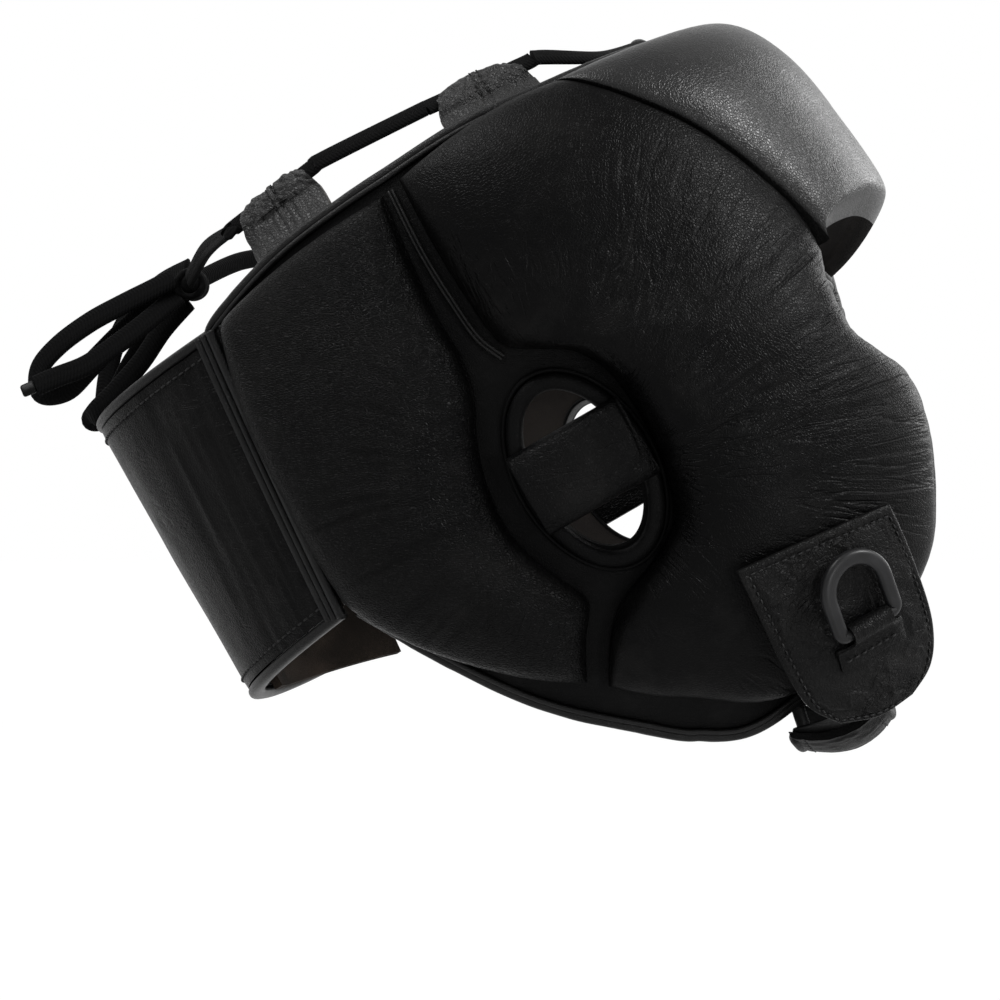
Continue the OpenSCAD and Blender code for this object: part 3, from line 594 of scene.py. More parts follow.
finish = {name: leatherMaterial(name) for name in leathers}
finish.update({name: napMaterial(name) for name in cloths})
finish["lace"] = laceMaterial()
finish["ring"] = plasticMaterial("ringPlastic", (0.0058, 0.0058, 0.0061), 0.38, 0.00003, 0.18)
finish["tip"] = plasticMaterial("tipPlastic", (0.002, 0.002, 0.002), 0.35, 0.00002, 0.06)
finish["thread"] = threadMaterial()
print("materials made:", len(finish))

# Crown lace and its bow. Places on the rim, where the leather loops stand
lace = {"width": 6.4, "slack": 8.2, "thick": 2.4, "room": 0.8, "lead": 5, "tilt": 0.5, "step": 1.1}
rimLoops = {"back": (103, 30, 24), "mid": (66, 34, 17.5), "front": (0, 16, 9.4)}  # angle, width and height
betweenLoops = (34, 7.6)  # angle and height of the lace between the middle loop and the front one
eyeDrop = (lace["width"] + lace["room"]) / 2 + layers["leather"]
binding = {"depth": (padBase - layers["gap"]) / 2, "height": 4.6, "gap": 0.8, "foot": 1.4}
crown = {"reach": np.array([120, 90, 100]), "z": 20}
rimLine = [[0, 72], [28, 72.5], [56, 74], [74, 76], [90, 74.5], [106, 71], [120.5, 64]]
# the knot's turns have their slant, place aside and radius
knot = {"place": np.array([-78, 0, 91]), "radius": 5.5, "width": 12, "core": 4.1,
        "turns": ((0.20, -2.4, 4.4), (-0.24, 2.6, 4.3))}


def crownOut(p):
    # outward way of the ellipsoid that the crown follows
    return unit((p - np.array([0, 0, crown["z"]])) / crown["reach"] ** 2)


def rimAt(a):
    foot = lift(np.array([a, np.interp(abs(a), *np.transpose(rimLine))]), binding["depth"])
    out = crownOut(foot)
    return foot + unit(np.array([0, 0, 1]) - out[2] * out) * (binding["height"] + binding["foot"])


def loopPlace(a):
    # a loop's own ways: along the rim, out and up, then its foot
    foot = rimAt(a)
    x = unit(rimAt(a + 3) - rimAt(a - 3))
    out = crownOut(foot)
    out = unit(out - (out @ x) * x)
    return x, out, np.cross(x, out), foot


def eyeAt(a, height):
    up, foot = loopPlace(a)[2:]
    return foot + up * (height - eyeDrop)


def throughLoop(a, width, height):
    # places and facings of the lace before, in and past a loop
    x, out = loopPlace(a)[:2]
    reach = [width / 2 + lace["lead"], width / 2, -width / 2, -width / 2 - lace["lead"]]
    return [(eyeAt(a, height) + x * r, out) for r in reach]


def laceShape(path, facing, width):
    # flat rod with soft edges, with its length and its way round kept as a map
    sides = 20
    rings = carried(path, facing, oval(width / 2, lace["thick"] / 2, sides, power=2.6))
    u, v = np.meshgrid(travelled(path) * metre, np.arange(sides) / sides, indexing="ij")
    return rings, np.stack([u, v], -1).reshape(-1, 2)


def crownLace():
    firstPoint = knot["place"] + np.array([1, -knot["width"] / 2 - layers["gap"], 1])
    nextPoint = knot["place"] + np.array([14, -34, 3])
    between = eyeAt(*betweenLoops)
    half = [(firstPoint, np.array([-0.85, -0.42, 0.3])), (nextPoint, np.array([-0.5, -0.8, 0.3])),
            *throughLoop(*rimLoops["back"]), *throughLoop(*rimLoops["mid"]),
            (between, crownOut(between)), *throughLoop(*rimLoops["front"])[:2]]
    flip = np.array([1, -1, 1])
    stations = half + [(p * flip, out * flip) for p, out in half[::-1]]
    path, facing = [along(values, even(420)) for values in zip(*stations)]
    rings, uv = laceShape(path, facing, lace["width"])
    makePiece("crown_lace_braid", tube(worn(rings)), "lace", stands=["crown_lace"], uv=uv)


def atKnot(a, y):
    # just off the knot's skin, at an angle above straight back
    reach = knot["radius"] + layers["gap"]
    return [-reach * math.cos(math.radians(a)), y, reach * math.sin(math.radians(a))]


# Free laces, measured from the knot along the worn directions
freeLaces = {
    "bow_loop_long": [
        atKnot(20, -4), [-13, -5, -2], [-23, -6, -7], [-34, -7, -13], [-45, -7, -21], [-52, -5, -29],
        [-52, -2, -37], [-44, 1, -36], [-36, 2, -28], [-26, 2, -18], [-15, 1, -8], atKnot(12, 0)],
    "bow_loop_short": [
        atKnot(-70, 4), [-11, 6, -15], [-19, 8, -26], [-28, 9, -36], [-35, 9, -43], [-37, 12, -46],
        [-34, 15, -45], [-29, 16, -37], [-23, 15, -26], [-15, 12, -15], atKnot(-14, 5)],
    "lace_end_long": [
        atKnot(-42, -4), [-14, -9, -13], [-24, -12, -21], [-34, -14, -28], [-44, -15, -32],
        [-51, -16, -35]],
    "lace_end_short": [
        atKnot(70, 4), [-13, 14, 1], [-24, 19, -8], [-31, 22, -20], [-34, 23, -32], [-35, 23, -42]]}
tipSize = {"length": 5, "start": 0.1, "halfW": 2.4, "halfT": 1.2}


def broadWay(path):
    # a lace lies broad side up, tilted a little about its own way
    way = unit(np.gradient(path, axis=0))
    level = np.broadcast_to(np.array([0.0, 1.0, 0.0]), way.shape)
    return unit(level + lace["tilt"] * np.cross(way, level))


def freeLace(name, origin):
    route = np.array(freeLaces[name], float)
    path = along(route, even(int(travelled(route)[-1] / lace["step"])))
    rings, uv = laceShape(path, broadWay(path), lace["slack"])
    piece = makePiece(name + "_braid", tube((rings + origin) * metre), "lace", stands=[name], uv=uv)
    ends = [laceTip(name, route, origin)] if "end" in name else []


def laceTip(name, route, origin):
    # pinched sleeve on the end of a lace
    way = unit(route[-1] - route[-2])
    t = even(16)
    path = route[-1] + way * (tipSize["start"] + t[:, None] * tipSize["length"])
    pinch = (0.72 + 0.28 * roll(t, 6))[:, None, None]
    facing = np.broadcast_to(broadWay(route[-2:])[0], path.shape)
    rings = carried(path, facing, oval(tipSize["halfW"], tipSize["halfT"], 20, power=2.4) * pinch)
    stands = ["lace_tips"] if "long" in name else []
    return makePiece(name + "_tip", tube((rings + origin) * metre), "tip", stands=stands)


def laceKnot(origin):
    # two flat turns pulled tight round a rounded core, one askew of the other
    a = 2 * np.pi * even(96)[:-1]
    shapes = []
    for askew, shift, radius in knot["turns"]:
        circle = np.stack([radius * np.cos(a), shift + 5 * askew * np.sin(a + 0.6), radius * np.sin(a)], -1)
        facing = unit(circle * np.array([1, 0, 1]))
        squeeze = 1 + 0.06 * np.sin(3 * a + shift)[:, None, None]
        band = oval(lace["width"] / 2 - 0.4, lace["thick"] / 2 + 0.1, 20, power=2.6) * squeeze
        shapes.append(tube(carried(circle, facing, band, closed=True), closed=True))
    t = even(24)
    core = np.stack([0 * t, (t - 0.5) * (knot["width"] - 1), 0 * t], -1)
    rounded = oval(knot["core"], knot["core"], 32) * roll(0.03 + 0.94 * t, 3)[:, None, None]
    shapes.append(tube(carried(core, np.broadcast_to([1.0, 0, 0], core.shape), rounded)))
    points, faces = joined(*shapes)
    points = (points + origin) * metre
    makePiece("lace_knot_turns", (points, faces), "lace", stands=["lace_knot"], uv=points[:, [1, 2]])


knotPlace = turned(knot["place"].astype(float))
crownLace()
for laceName in freeLaces:
    freeLace(laceName, knotPlace)
laceKnot(knotPlace)
print("laces made")


def movedRound(points, turn=0.0, side=1):
    return [[side * a + turn, z] for a, z in points]


# Panel outlines of the right side, as angle from the face and height
seamTop = rimLine[2]
faceEdge = [[44, -122], [31, -113], [21, -100], [19, -84], [18, -66], [20, -51], [26, -43],
            [31, -34], [31, -22], [28.5, -8]]
browSeam = [faceEdge[-1], [33, 14], [40, 38], [48, 57], seamTop]
frontLine = faceEdge + browSeam[1:]
rearLine = [[131, -33], [129, -14], [126.5, 8], [124.5, 34], [122, 52], rimLine[-1]]
lowLine = [faceEdge[0], [64, -128.5], [83, -128], [98, -111.5], [115, -84], rearLine[0]]
topLine = rimLine[2:]
sidePanel = [frontLine, rearLine, lowLine, topLine]
gapAngle = 0.35

cheekLow = [faceEdge[0], [60, -125.5], [76, -122], [88, -111], [98.5, -96]]
cheekRear = [cheekLow[-1], [92, -81], [88, -74], [82, -69], [76.5, -62], [74, -52], [73, -40], [73, -26],
             [74, -12], [77, -1], [82, 6], [86, 13], [87, 30], [87.3, 52], [87, 72]]
cheekTop = [seamTop, [66, 75.5], [77, 74.5], cheekRear[-1]]
cheekPad = [[cheekLow[0]] + movedRound(frontLine, gapAngle)[1:-1] + [seamTop], cheekRear, cheekLow, cheekTop]
rearFront = [[102, -91], [97.5, -80], [93.5, -70], [95, -60], [97, -48], [97.6, -36], [96.5, -22],
             [94.5, -9], [92, 3], [91, 16], [91, 32], [90.5, 51], [90, 70]]
rearBack = [[130, -33], [128, -14], [125.5, 8], [123.5, 34], [121, 52], [119.5, 63]]
rearPad = [rearFront, rearBack, [rearFront[0], [112, -78], [122, -58], rearBack[0]],
           [rearFront[-1], [100, 69], [110, 66.5], rearBack[-1]]]
browLeft = movedRound(browSeam, gapAngle, -1)
browRight = movedRound(browSeam, -gapAngle)
browLow = [browLeft[0], [-14, -11], [0, -16], [14, -11], browRight[0]]
foreheadPad = [browLeft, browRight, browLow, [browLeft[4], [-28, 72], [0, 71.5], [28, 72], browRight[4]]]
frontTop = movedRound(rimLine[2:0:-1], 0, -1) + rimLine[:3]
frontPanel = [browLeft, browRight, browLow, [[a * (1 - gapAngle / seamTop[0]), z] for a, z in frontTop]]


# Pads: share of the rise over a patch, s upwards and t from the face to the rear
def browLip(t):
    # share of the patch that the slanting underside takes
    return 0.004 + 0.166 * roll(t, 3)


def foreheadForm(s, t):
    # a blunt step at the lip, then falling towards the rim and the temples
    ramp = s / browLip(t)
    corner = np.maximum(0, (ramp + 1 - np.sqrt((ramp - 1) ** 2 + 0.03)) / 2)
    up = np.where(s < 0.5, corner, roll(s, 3.2))
    across = 0.62 + 0.32 * (1 - (2 * t - 1) ** 2) ** 0.9 + 0.06 * roll(t, 16)
    return across * up * (1.13 - 0.36 * s)


def cheekForm(s, t):
    # crowned both ways below; above the ear it meets the rear pad at full height
    seam = ease((s - 0.64) / 0.12)
    openT = np.where(t < 0.5, roll(t, 7), roll(t, 5))
    shutT = roll(0.5 + t / 2, 5) * (0.93 + 0.07 * roll(t, 16))
    across = openT + 0.97 * (shutT - openT) * seam
    swell = 0.84 + 0.2 * np.sin(np.pi * np.minimum(s / 0.8, 1))
    up = np.where(s < 0.5, roll(s, 5), roll(s, 6))
    return across * up * swell * (1 + 0.16 * (1 - t) * (1 - seam))


def rearForm(s, t):
    return roll(t, 5) * roll(s, 5)


pads = {
    "forehead": {"patch": foreheadPad, "form": foreheadForm, "rise": 28, "rows": 150, "cols": 230,
                 "size": (88, 150), "pull": (0.3, 0.15, 0.2, 0.2), "bulge": 0.5, "roll": 0.5, "gather": 2.6,
                 "edgeRow": 42},
    "cheek": {"patch": cheekPad, "form": cheekForm, "rise": 22, "rows": 300, "cols": 150, "size": (200, 85),
              "pull": (0.3, 0.15, 0.2, 0.28), "bulge": 0.8, "roll": 0.6, "gather": 2.8},
    "rear": {"patch": rearPad, "form": rearForm, "rise": 14, "rows": 280, "cols": 130, "size": (140, 60),
             "pull": (0.25, 0.2, 0.32, 0.25), "bulge": 0.9, "roll": 0.4, "gather": 2.4}}
earAt = {"x": 12.5, "z": -34, "scale": 40}
foam = {"drawn": (2 * layers["leather"] + 6 * layers["gap"]) / 80, "rise": 0.96, "inset": 3 * layers["gap"]}


def puckers(look, s, t, seed):
    # gathers square to the four edges of a patch: random ridges along each edge that fade inwards
    size = look["size"]
    up, back = s * size[0], t * size[1]
    edges = ((up, back), (size[0] - up, back), (back, up), (size[1] - back, up))
    return sum(look["pull"][k] * hump(depth, 6) * rumple(run / look["gather"], depth / 16, seed + k)
               for k, (depth, run) in enumerate(edges))


def rays(x, z, rear=False):
    # log-polar map about the ear: the way round it and the logarithm of the reach, true to size at the scale
    x, z = x - earAt["x"], z - earAt["z"]
    turn = np.arctan2(-z, -x) if rear else np.arctan2(z, x)
    return turn, np.log(np.hypot(x, z) / earAt["scale"])


def fan(turn, reach, count, seed, width):
    # creases that run out from the ear: thin valleys across the way round, bent a little on their way out
    bend = 0.5 * rumple(reach * 2.5, turn * 3, seed + 5, 1)
    return creases(turn * count + bend, reach * 2.2, seed, width)


def padRelief(kind, s, t, x, z, seed):
    # soft swells, gathers at the seams and the creases that the head's shape pulls in
    depth = pads[kind]["roll"] * rumple(x / 34, z / 34, seed + 3) + puckers(pads[kind], s, t, seed)
    turn, reach = rays(x, z, kind == "rear")
    if kind == "cheek":
        front = hump(turn - 0.35, 0.75)
        near = hump(reach - 0.3, 0.5) * np.clip(0.6 + 1.1 * rumple(x / 13, z / 13, seed + 8), 0, 1)
        byEye = hump(x - 88, 14) * hump(z + 16, 24)
        depth -= 0.85 * fan(turn, reach, 9, seed + 20, 0.36) * near * (0.15 + 0.85 * front)
        depth -= 0.42 * fan(turn, reach, 19, seed + 30, 0.42) * near * (0.35 + 0.65 * front)
        depth -= 0.6 * fan(turn, reach, 26, seed + 40, 0.42) * byEye
    if kind == "rear":
        depth -= 0.3 * fan(turn, reach, 15, seed + 20, 0.4) * hump(reach - 0.45, 0.6)
    return depth


def padShape(kind, side, seed):
    look = pads[kind]
    s, t = np.meshgrid(edgy(look["rows"]), edgy(look["cols"]), indexing="ij")
    if kind == "forehead":
        # a row of the grid runs along the underside's edge
        edgeRow = edgy(look["rows"])[look["edgeRow"]]
        s = np.where(s < edgeRow, s / edgeRow * browLip(t), 1 - (1 - s) / (1 - edgeRow) * (1 - browLip(t)))
    q = spot(look["patch"], s, t)
    flat = onHead(q[..., 0], q[..., 1])
    calm = roll(0.02 + 0.96 * s, 8) * roll(0.02 + 0.96 * t, 8)
    depth = padRelief(kind, s, t, flat[..., 0], flat[..., 2], seed) * calm
    depth = padBase + layers["hem"] + look["rise"] * look["form"](s, t) + depth
    rimS, rimT, rimDepth = rimOf(s), rimOf(t), rimOf(depth)
    pushS = np.where(rimS == 0, -1, np.where(rimS == 1, 1, 0)) / look["size"][0]
    pushT = np.where(rimT == 0, -1, np.where(rimT == 1, 1, 0)) / look["size"][1]
    loops = []
    for w in even(9)[1:-1]:
        # the wall under the rim bulges out halfway down
        out = look["bulge"] * math.sin(math.pi * w)
        ring = spot(look["patch"], rimS + out * pushS, rimT + out * pushT)
        loops.append(lift(ring, padBase + (rimDepth - padBase) * (1 - w)))
    chart = np.stack(rays(flat[..., 0], flat[..., 2], kind == "rear"), -1) * earAt["scale"] * metre
    uv = np.concatenate([chart.reshape(-1, 2), *[rimOf(chart)] * len(loops), chart.reshape(-1, 2)])
    # the turned-up underside takes the darker lining, which partly paints the shade under the brow
    turnedUp = s < 0.66 * browLip(t)
    under = np.concatenate([turnedUp.ravel(), *[rimS <= 0] * len(loops), np.ones(s.size, bool)])
    return solid(lift(q, depth), lift(q, padBase), side, loops), uv, under


def foamShape(kind, side):
    # the core under a cover: the same crown, lower and drawn in
    look = pads[kind]
    s, t = np.meshgrid(edgy(26), edgy(24), indexing="ij")
    q = spot(look["patch"], *[foam["drawn"] + (1 - 2 * foam["drawn"]) * k for k in (s, t)])
    crown = foam["rise"] * look["rise"] * look["form"](s, t)
    return solid(lift(q, padBase + layers["hem"] - layers["leather"] - foam["inset"] + crown),
                 lift(q, padBase + foam["inset"]), side)


def makePad(name, kind, side, seed, look):
    shape, uv, under = padShape(kind, side, seed)
    # the forehead's underside gets the darker lining: partly painted shade
    pad = makePiece(name + "_pad", shape, look, stands=[name + "_cover"], sharp=60, uv=uv,
                    second=("shadedBrowLining", under) if kind == "forehead" else None)
    core = makePiece(name + "_core", foamShape(kind, side), "foamCore",
                     stands=[name + "_foam"], sharp=60)


makePad("forehead", "forehead", 1, 1, "browLeather")
for sideName, side, seed in (("right", 1, 100), ("left", -1, 200)):
    makePad(sideName + "_cheek", "cheek", side, seed, "padLeather")
    makePad(sideName + "_rear", "rear", side, seed + 50, "rearLeather")
print("pads made")

# Layered panels behind the pads, with the ear openings cut through them
ear = {"x": earAt["x"], "z": earAt["z"], "long": 56, "wide": 32, "roll": 5, "lap": 0.4,
       "strapH": 27, "strapT": 7}
ear["ringX"] = ear["wide"] / 2 + ear["roll"] / 2 - ear["lap"]
ear["ringZ"] = ear["long"] / 2 + ear["roll"] / 2 - ear["lap"]


def panelShape(patch, rows, cols, low, thick, side, wave):
    s, t = np.meshgrid(even(rows), even(cols), indexing="ij")
    q = spot(patch, s, t)
    swell = wave * rumple(s * rows / 9, t * cols / 9, 17)
    return solid(lift(q, low + thick + np.minimum(swell, 0)), lift(q, low), side)


def cutEar(piece, side):
    # an oval rod through the opening is taken away from the panel
    a = 2 * np.pi * even(72)[:-1]
    path = np.array([[ear["x"], -side * 40.0, ear["z"]], [ear["x"], -side * 110.0, ear["z"]]])
    ring = np.stack([ear["wide"] / 2 * np.cos(a), 0 * a, ear["long"] / 2 * np.sin(a)], -1)
    cutter = makePiece("cutter", tube(worn(path[:, None] + ring)), "foamCore", body=None)
    cut = piece.modifiers.new("ear", "BOOLEAN")
    cut.object = cutter
    cut.solver = "EXACT"
    graph = bpy.context.evaluated_depsgraph_get()
    piece.data = bpy.data.meshes.new_from_object(piece.evaluated_get(graph))
    piece.modifiers.clear()
    piece.data.set_sharp_from_angle(angle=math.radians(45))
    bpy.data.objects.remove(cutter)


panels = (("front", frontPanel, 60, 100, 1), ("right", sidePanel, 120, 60, 1),
          ("left", sidePanel, 120, 60, -1))
plies = (("backing", backingBase, 0.3, "backingLeather", "smooth_leather"),
        ("lining", 0, 0.2, "suedeLining", "suede"))
for panelName, patch, rows, cols, side in panels:
    for ply, low, wave, look, slot in plies:
        shape = panelShape(patch, rows, cols, low, layers[ply], side, wave)
        panel = makePiece(panelName + "_" + ply + "_panel", shape, look,
                          stands=[panelName + "_" + ply], sharp=50 if panelName == "front" else None)
        if panelName != "front":
            cutEar(panel, side)
print("panels made")


# Bound edges: a soft bead round the layers and a thin piping where it is turned in beside the pads
def carriedOnHead(q, depth, profile, side=1, closed=False):
    q = np.asarray(q, float)
    return tube(worn(carried(lift(q, depth), outward(q), profile, closed) * np.array([1, side, 1])), closed)


def boundEdge(name, q, way, side=1):
    # the bead's height breathes a little along its run, as a turned strip of leather does
    q = np.asarray(q, float)
    breath = 1 + 0.035 * rumple(travelled(lift(q, binding["depth"])) / 7, 0, 41)[:, None, None]
    half = binding["height"] / 2
    bead = oval(half, binding["depth"] + layers["leather"], 24, power=2.5) * breath
    bead = bead + np.array([way * (half + binding["gap"]), 0])
    piping = oval(0.95, 0.95, 12) + np.array([way * 0.9, binding["depth"] + 1.1])
    shape = joined(*[carriedOnHead(q, binding["depth"], profile, side) for profile in (bead, piping)])
    makePiece(name, shape, "bindingLeather", stands=[boundNodes[name]])


def part(points, a, b, n):
    return along(points, a + (b - a) * even(n))


def mirroredLine(q):
    return q[::-1] * np.array([-1, 1])


boundNodes = {"top_rim_binding": "top_binding", "face_opening_binding": "face_binding"}
for sideName in ("right", "left"):
    boundNodes[sideName + "_low_bound_edge"] = sideName + "_low_binding"
    boundNodes[sideName + "_rear_bound_edge"] = sideName + "_rear_binding"
endShare = 0.02
rimRight = part(topLine + [[123.5, 61.5]], endShare, 1, 100)
rim = np.concatenate([mirroredLine(rimRight)[:-1], part(frontTop, 0.01, 0.99, 90), rimRight[1:]])
faceUp = part(faceEdge, endShare, 1 - endShare, 130)
boundEdge("top_rim_binding", rim, 1)
boundEdge("face_opening_binding",
          np.concatenate([faceUp, part(browLow, 0.92, 0.08, 70), mirroredLine(faceUp)]), 1)
for sideName, side in (("right", 1), ("left", -1)):
    boundEdge(sideName + "_low_bound_edge", part(lowLine, 0.01, 0.99, 130), -1, side)
    boundEdge(sideName + "_rear_bound_edge", part(rearLine, endShare, 1 - endShare, 70), -1, side)
print("bindings made")


# Ear openings: rolled ring with an outer piping, a wall through the layers, and the padded strap
def earRing(side):
    a = 2 * np.pi * even(144)[:-1]
    half = ear["roll"] / 2
    deep = padBase / 2
    shapes = []
    for grow, depth, profile in ((0, padBase + half, oval(half + 0.2, half, 24, power=2.4)),
                                 (half + 1.1, padBase + 0.7, oval(0.9, 1.0, 12)),
                                 (ear["lap"] + 0.2 - half, deep + 0.4, oval(0.7, deep + 1.2, 20, power=5))):
        x = ear["x"] + (ear["ringX"] + grow) * np.cos(a)
        z = ear["z"] + (ear["ringZ"] + grow) * np.sin(a)
        shapes.append(carriedOnHead(np.stack([sideAngle(x, z), z], -1), depth, profile, side, True))
    return joined(*shapes)


def earStrap(side, seed):
    # pillow strip over the opening: crowned across, flatter along, creased square to its length
    z0 = ear["z"] + 2 - ear["strapH"] / 2
    ends = (ear["x"] + ear["ringX"] + 1, ear["x"] - ear["ringX"] - 1)
    a, b, c, d = [[float(sideAngle(x, z)), z] for x in ends for z in (z0, z0 + ear["strapH"])]
    base = padBase + ear["roll"] + layers["gap"]
    s, t = np.meshgrid(edgy(70), edgy(90), indexing="ij")
    q = spot([[a, b], [c, d], [a, c], [b, d]], s, t)
    crown = (ear["strapT"] - 2) * roll(s, 2.2) * (0.7 + 0.3 * roll(t, 4))
    fold = creases(t * 10 + s, s * 1.6, seed, 0.4) * 0.75 * hump(t, 0.55)
    fold = fold + 0.2 * rumple(t * 9, s * 9, seed + 2)
    rolled = roll(0.01 + 0.98 * s, 6)
    return solid(lift(q, base + (2 - fold) * rolled + crown), lift(q, base - 0.6 * rolled), side)


strip = {"w": 2.5, "t": 2.4, "line": [[88.8, 71], [89.2, 50], [89, 32], [88.5, 18], [87, 9]]}
for sideName, side, seed in (("right", 1, 60), ("left", -1, 70)):
    makePiece(sideName + "_ear_rolled_ring", earRing(side), "backingLeather",
              stands=[sideName + "_ear_ring"])
    pad = makePiece(sideName + "_ear_padded_strap", earStrap(side, seed), "coverLeather",
                    stands=[sideName + "_ear_strap"])
    halves = [carriedOnHead(part(strip["line"], 0, 1, 60), padBase + strip["t"] / 2,
                            oval(strip["w"] / 4 + 0.1, strip["t"] / 2, 14, shift), side)
              for shift in (-strip["w"] / 4, strip["w"] / 4)]
    makePiece(sideName + "_channel_piping", joined(*halves), "bindingLeather",
              stands=[sideName + "_channel_strip"])
print("ears made")


# Sewing: one bent capsule for each stitch, laid along a path
def stitches(path, facing, pitch, length, radius):
    travel = travelled(path)
    count = int(travel[-1] / pitch)
    at = (np.arange(count) + 0.5) * travel[-1] / count

    def between(values):
        return np.stack([np.interp(at, travel, values[:, k]) for k in range(3)], -1)

    way = unit(between(np.gradient(path, axis=0)))
    aside = unit(np.cross(way, between(facing)))
    ways = np.stack([way, aside, np.cross(aside, way)], 1)
    run = np.array([-1, -0.6, 0, 0.6, 1])[:, None] * length / 2
    thick = np.array([0.35, 0.9, 1, 0.9, 0.35])[:, None] * radius
    rise = np.array([-0.6, 0.35, 0.6, 0.35, -0.6])[:, None] * radius
    a = 2 * np.pi * np.arange(6) / 6
    local = np.stack([run + 0 * a, thick * np.cos(a), rise + thick * np.sin(a)], -1)
    points = between(path)[:, None, None] + np.einsum("ijk,nkl->nijl", local, ways)
    caps = np.stack([np.arange(6)[::-1], 24 + np.arange(6)])
    start = (30 * np.arange(count))[:, None, None]
    return points.reshape(-1, 3), [(gridFaces(5, 6, closedCols=True) + start).reshape(-1, 4),
                                   (caps + start).reshape(-1, 6)]


def sewn(name, runs, body="root"):
    # each run has its path, its facing, and its stitches' pitch, length and radius
    points, faces = joined(*[stitches(*run) for run in runs])
    return makePiece(name, (worn(points), faces), "thread", body=body)


# Leather loops on the rim: a strip turned over the lace, both legs sewn to the rim
def loopShape(a, width, height, side, seed):
    x, out, up, foot = loopPlace(a)
    e = height - eyeDrop
    outer = [(0.72, -3), (0.72, e - 7.2), (0.9, e - 5.6), (1.7, e - 3.6), (2.0, e - 1.6), (2.0, e + 1.2),
             (1.75, e + 2.9), (0.95, e + 3.85), (0, e + 4.1)]
    line = along(outer + [(-o, u) for o, u in outer[-2::-1]], even(110))
    climb = line[:, 1:]
    k = np.linspace(-0.5, 0.5, 71)
    rough = 0.32 * rumple(climb / 3.1, k * width / 3.6, seed)
    rough = rough + 0.5 * rumple(climb / 11, k * width / 12, seed + 4)
    rough = rough - 0.55 * creases(climb / 3.4, k * width / 3, seed + 9, 0.3)
    rough = rough - 0.4 * hump(np.abs(k * width) - 1.3, 0.4)
    soft = np.clip(climb / 6, 0, 1)
    bow = -3.2 * k ** 2 * width / 30 * soft
    high = ease((climb - e + 9) / 12)
    sink = 3.0 * np.abs(2 * k) ** 4 * high
    grids = []
    for offset in (layers["leather"] / 2, -layers["leather"] / 2):
        flat = line[:, None] + flatNormal(line)[:, None] * (offset + rough * soft)[..., None]
        edge = k * (width + 0.5 * np.sign(offset)) * (1 - 0.12 * high) + 0.25 * rumple(climb / 5, 0, seed + 7)
        grids.append(foot + edge[..., None] * x + (flat[..., 0] + bow)[..., None] * out
                     + (flat[..., 1] - sink)[..., None] * up)
    flip = np.array([1, side, 1])
    seams = []
    for across in (-1.3, 1.3):
        run = (grids[0][8:52, np.argmin(np.abs(k * width - across))] + 0.3 * out) * flip
        seams.append((run, np.broadcast_to(out * flip, run.shape), 2.6, 1.9, 0.3))
    return solid(*grids, side), seams, np.tile(np.abs(k) > 0.499, 2 * len(line))


for loopName, kind, side, seed in (("right_back_loop", "back", 1, 81), ("right_mid_loop", "mid", 1, 82),
                                   ("left_back_loop", "back", -1, 83), ("left_mid_loop", "mid", -1, 84),
                                   ("front_loop", "front", 1, 85)):
    shape, seams, raw = loopShape(*rimLoops[kind], side, seed)
    makePiece(loopName + "_leather", shape, "loopLeather", stands=[loopName], sharp=50,
              second=("rawEdge", raw))
    sewn(loopName + "_stitching", seams)
print("lace loops made")

# Rear strap: wraps the back of the head from its seam on the right to the flap on the left
strap = {"back": 129, "thick": 4.6, "top": 60, "low": 42, "end": 230, "seat": 5, "gap": 1.3, "tuck": 0.022,
         "startLow": (126.8, -34), "startTop": (121.6, 62), "bead": 1.9, "lip": 0.6, "seamTurn": 1.1}
under = {"gap": 4.4, "thick": 2.8, "reach": 172, "low": -44, "top": 54, "flare": 8}
hook = {"thick": 1.1, "gap": 0.4, "low": -28, "high": 48}


def strapAt(a, z, d):
    # superellipse behind the head, moved out by d
    r = np.radians(a)
    return np.stack(np.broadcast_arrays(
        (strap["back"] - strap["thick"] + d) * rootOf(np.cos(r)),
        -(halfWidth(z) + strap["seat"] + d) * rootOf(np.sin(r)), z), -1)


def strapOut(a, z):
    return unit(strapAt(a, z, 1.0) - strapAt(a, z, 0.0))


def strapStart(v):
    return strap["startLow"][0] + (strap["startTop"][0] - strap["startLow"][0]) * v + strap["gap"]


def strapPlace(u, v):
    # angle and height: the edges ease from the seam's height to the height at the back
    top = strap["top"] + (strap["startTop"][1] - strap["top"]) * (1 - u) ** 2
    low = -strap["low"] + (strap["startLow"][1] + strap["low"]) * (1 - u) ** 2
    return strapStart(v) + (strap["end"] - strapStart(v)) * u, low + (top - low) * v


def blended(piece):
    # finds two places near the strap's start, which are not used, and bakes the piece's placing into its mesh
    a, z = strapPlace(np.array([0.02, 0.13]), np.array([0.5, 0.5]))
    first, last = worn(strapAt(a, z, strap["thick"] / 2))
    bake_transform(piece)


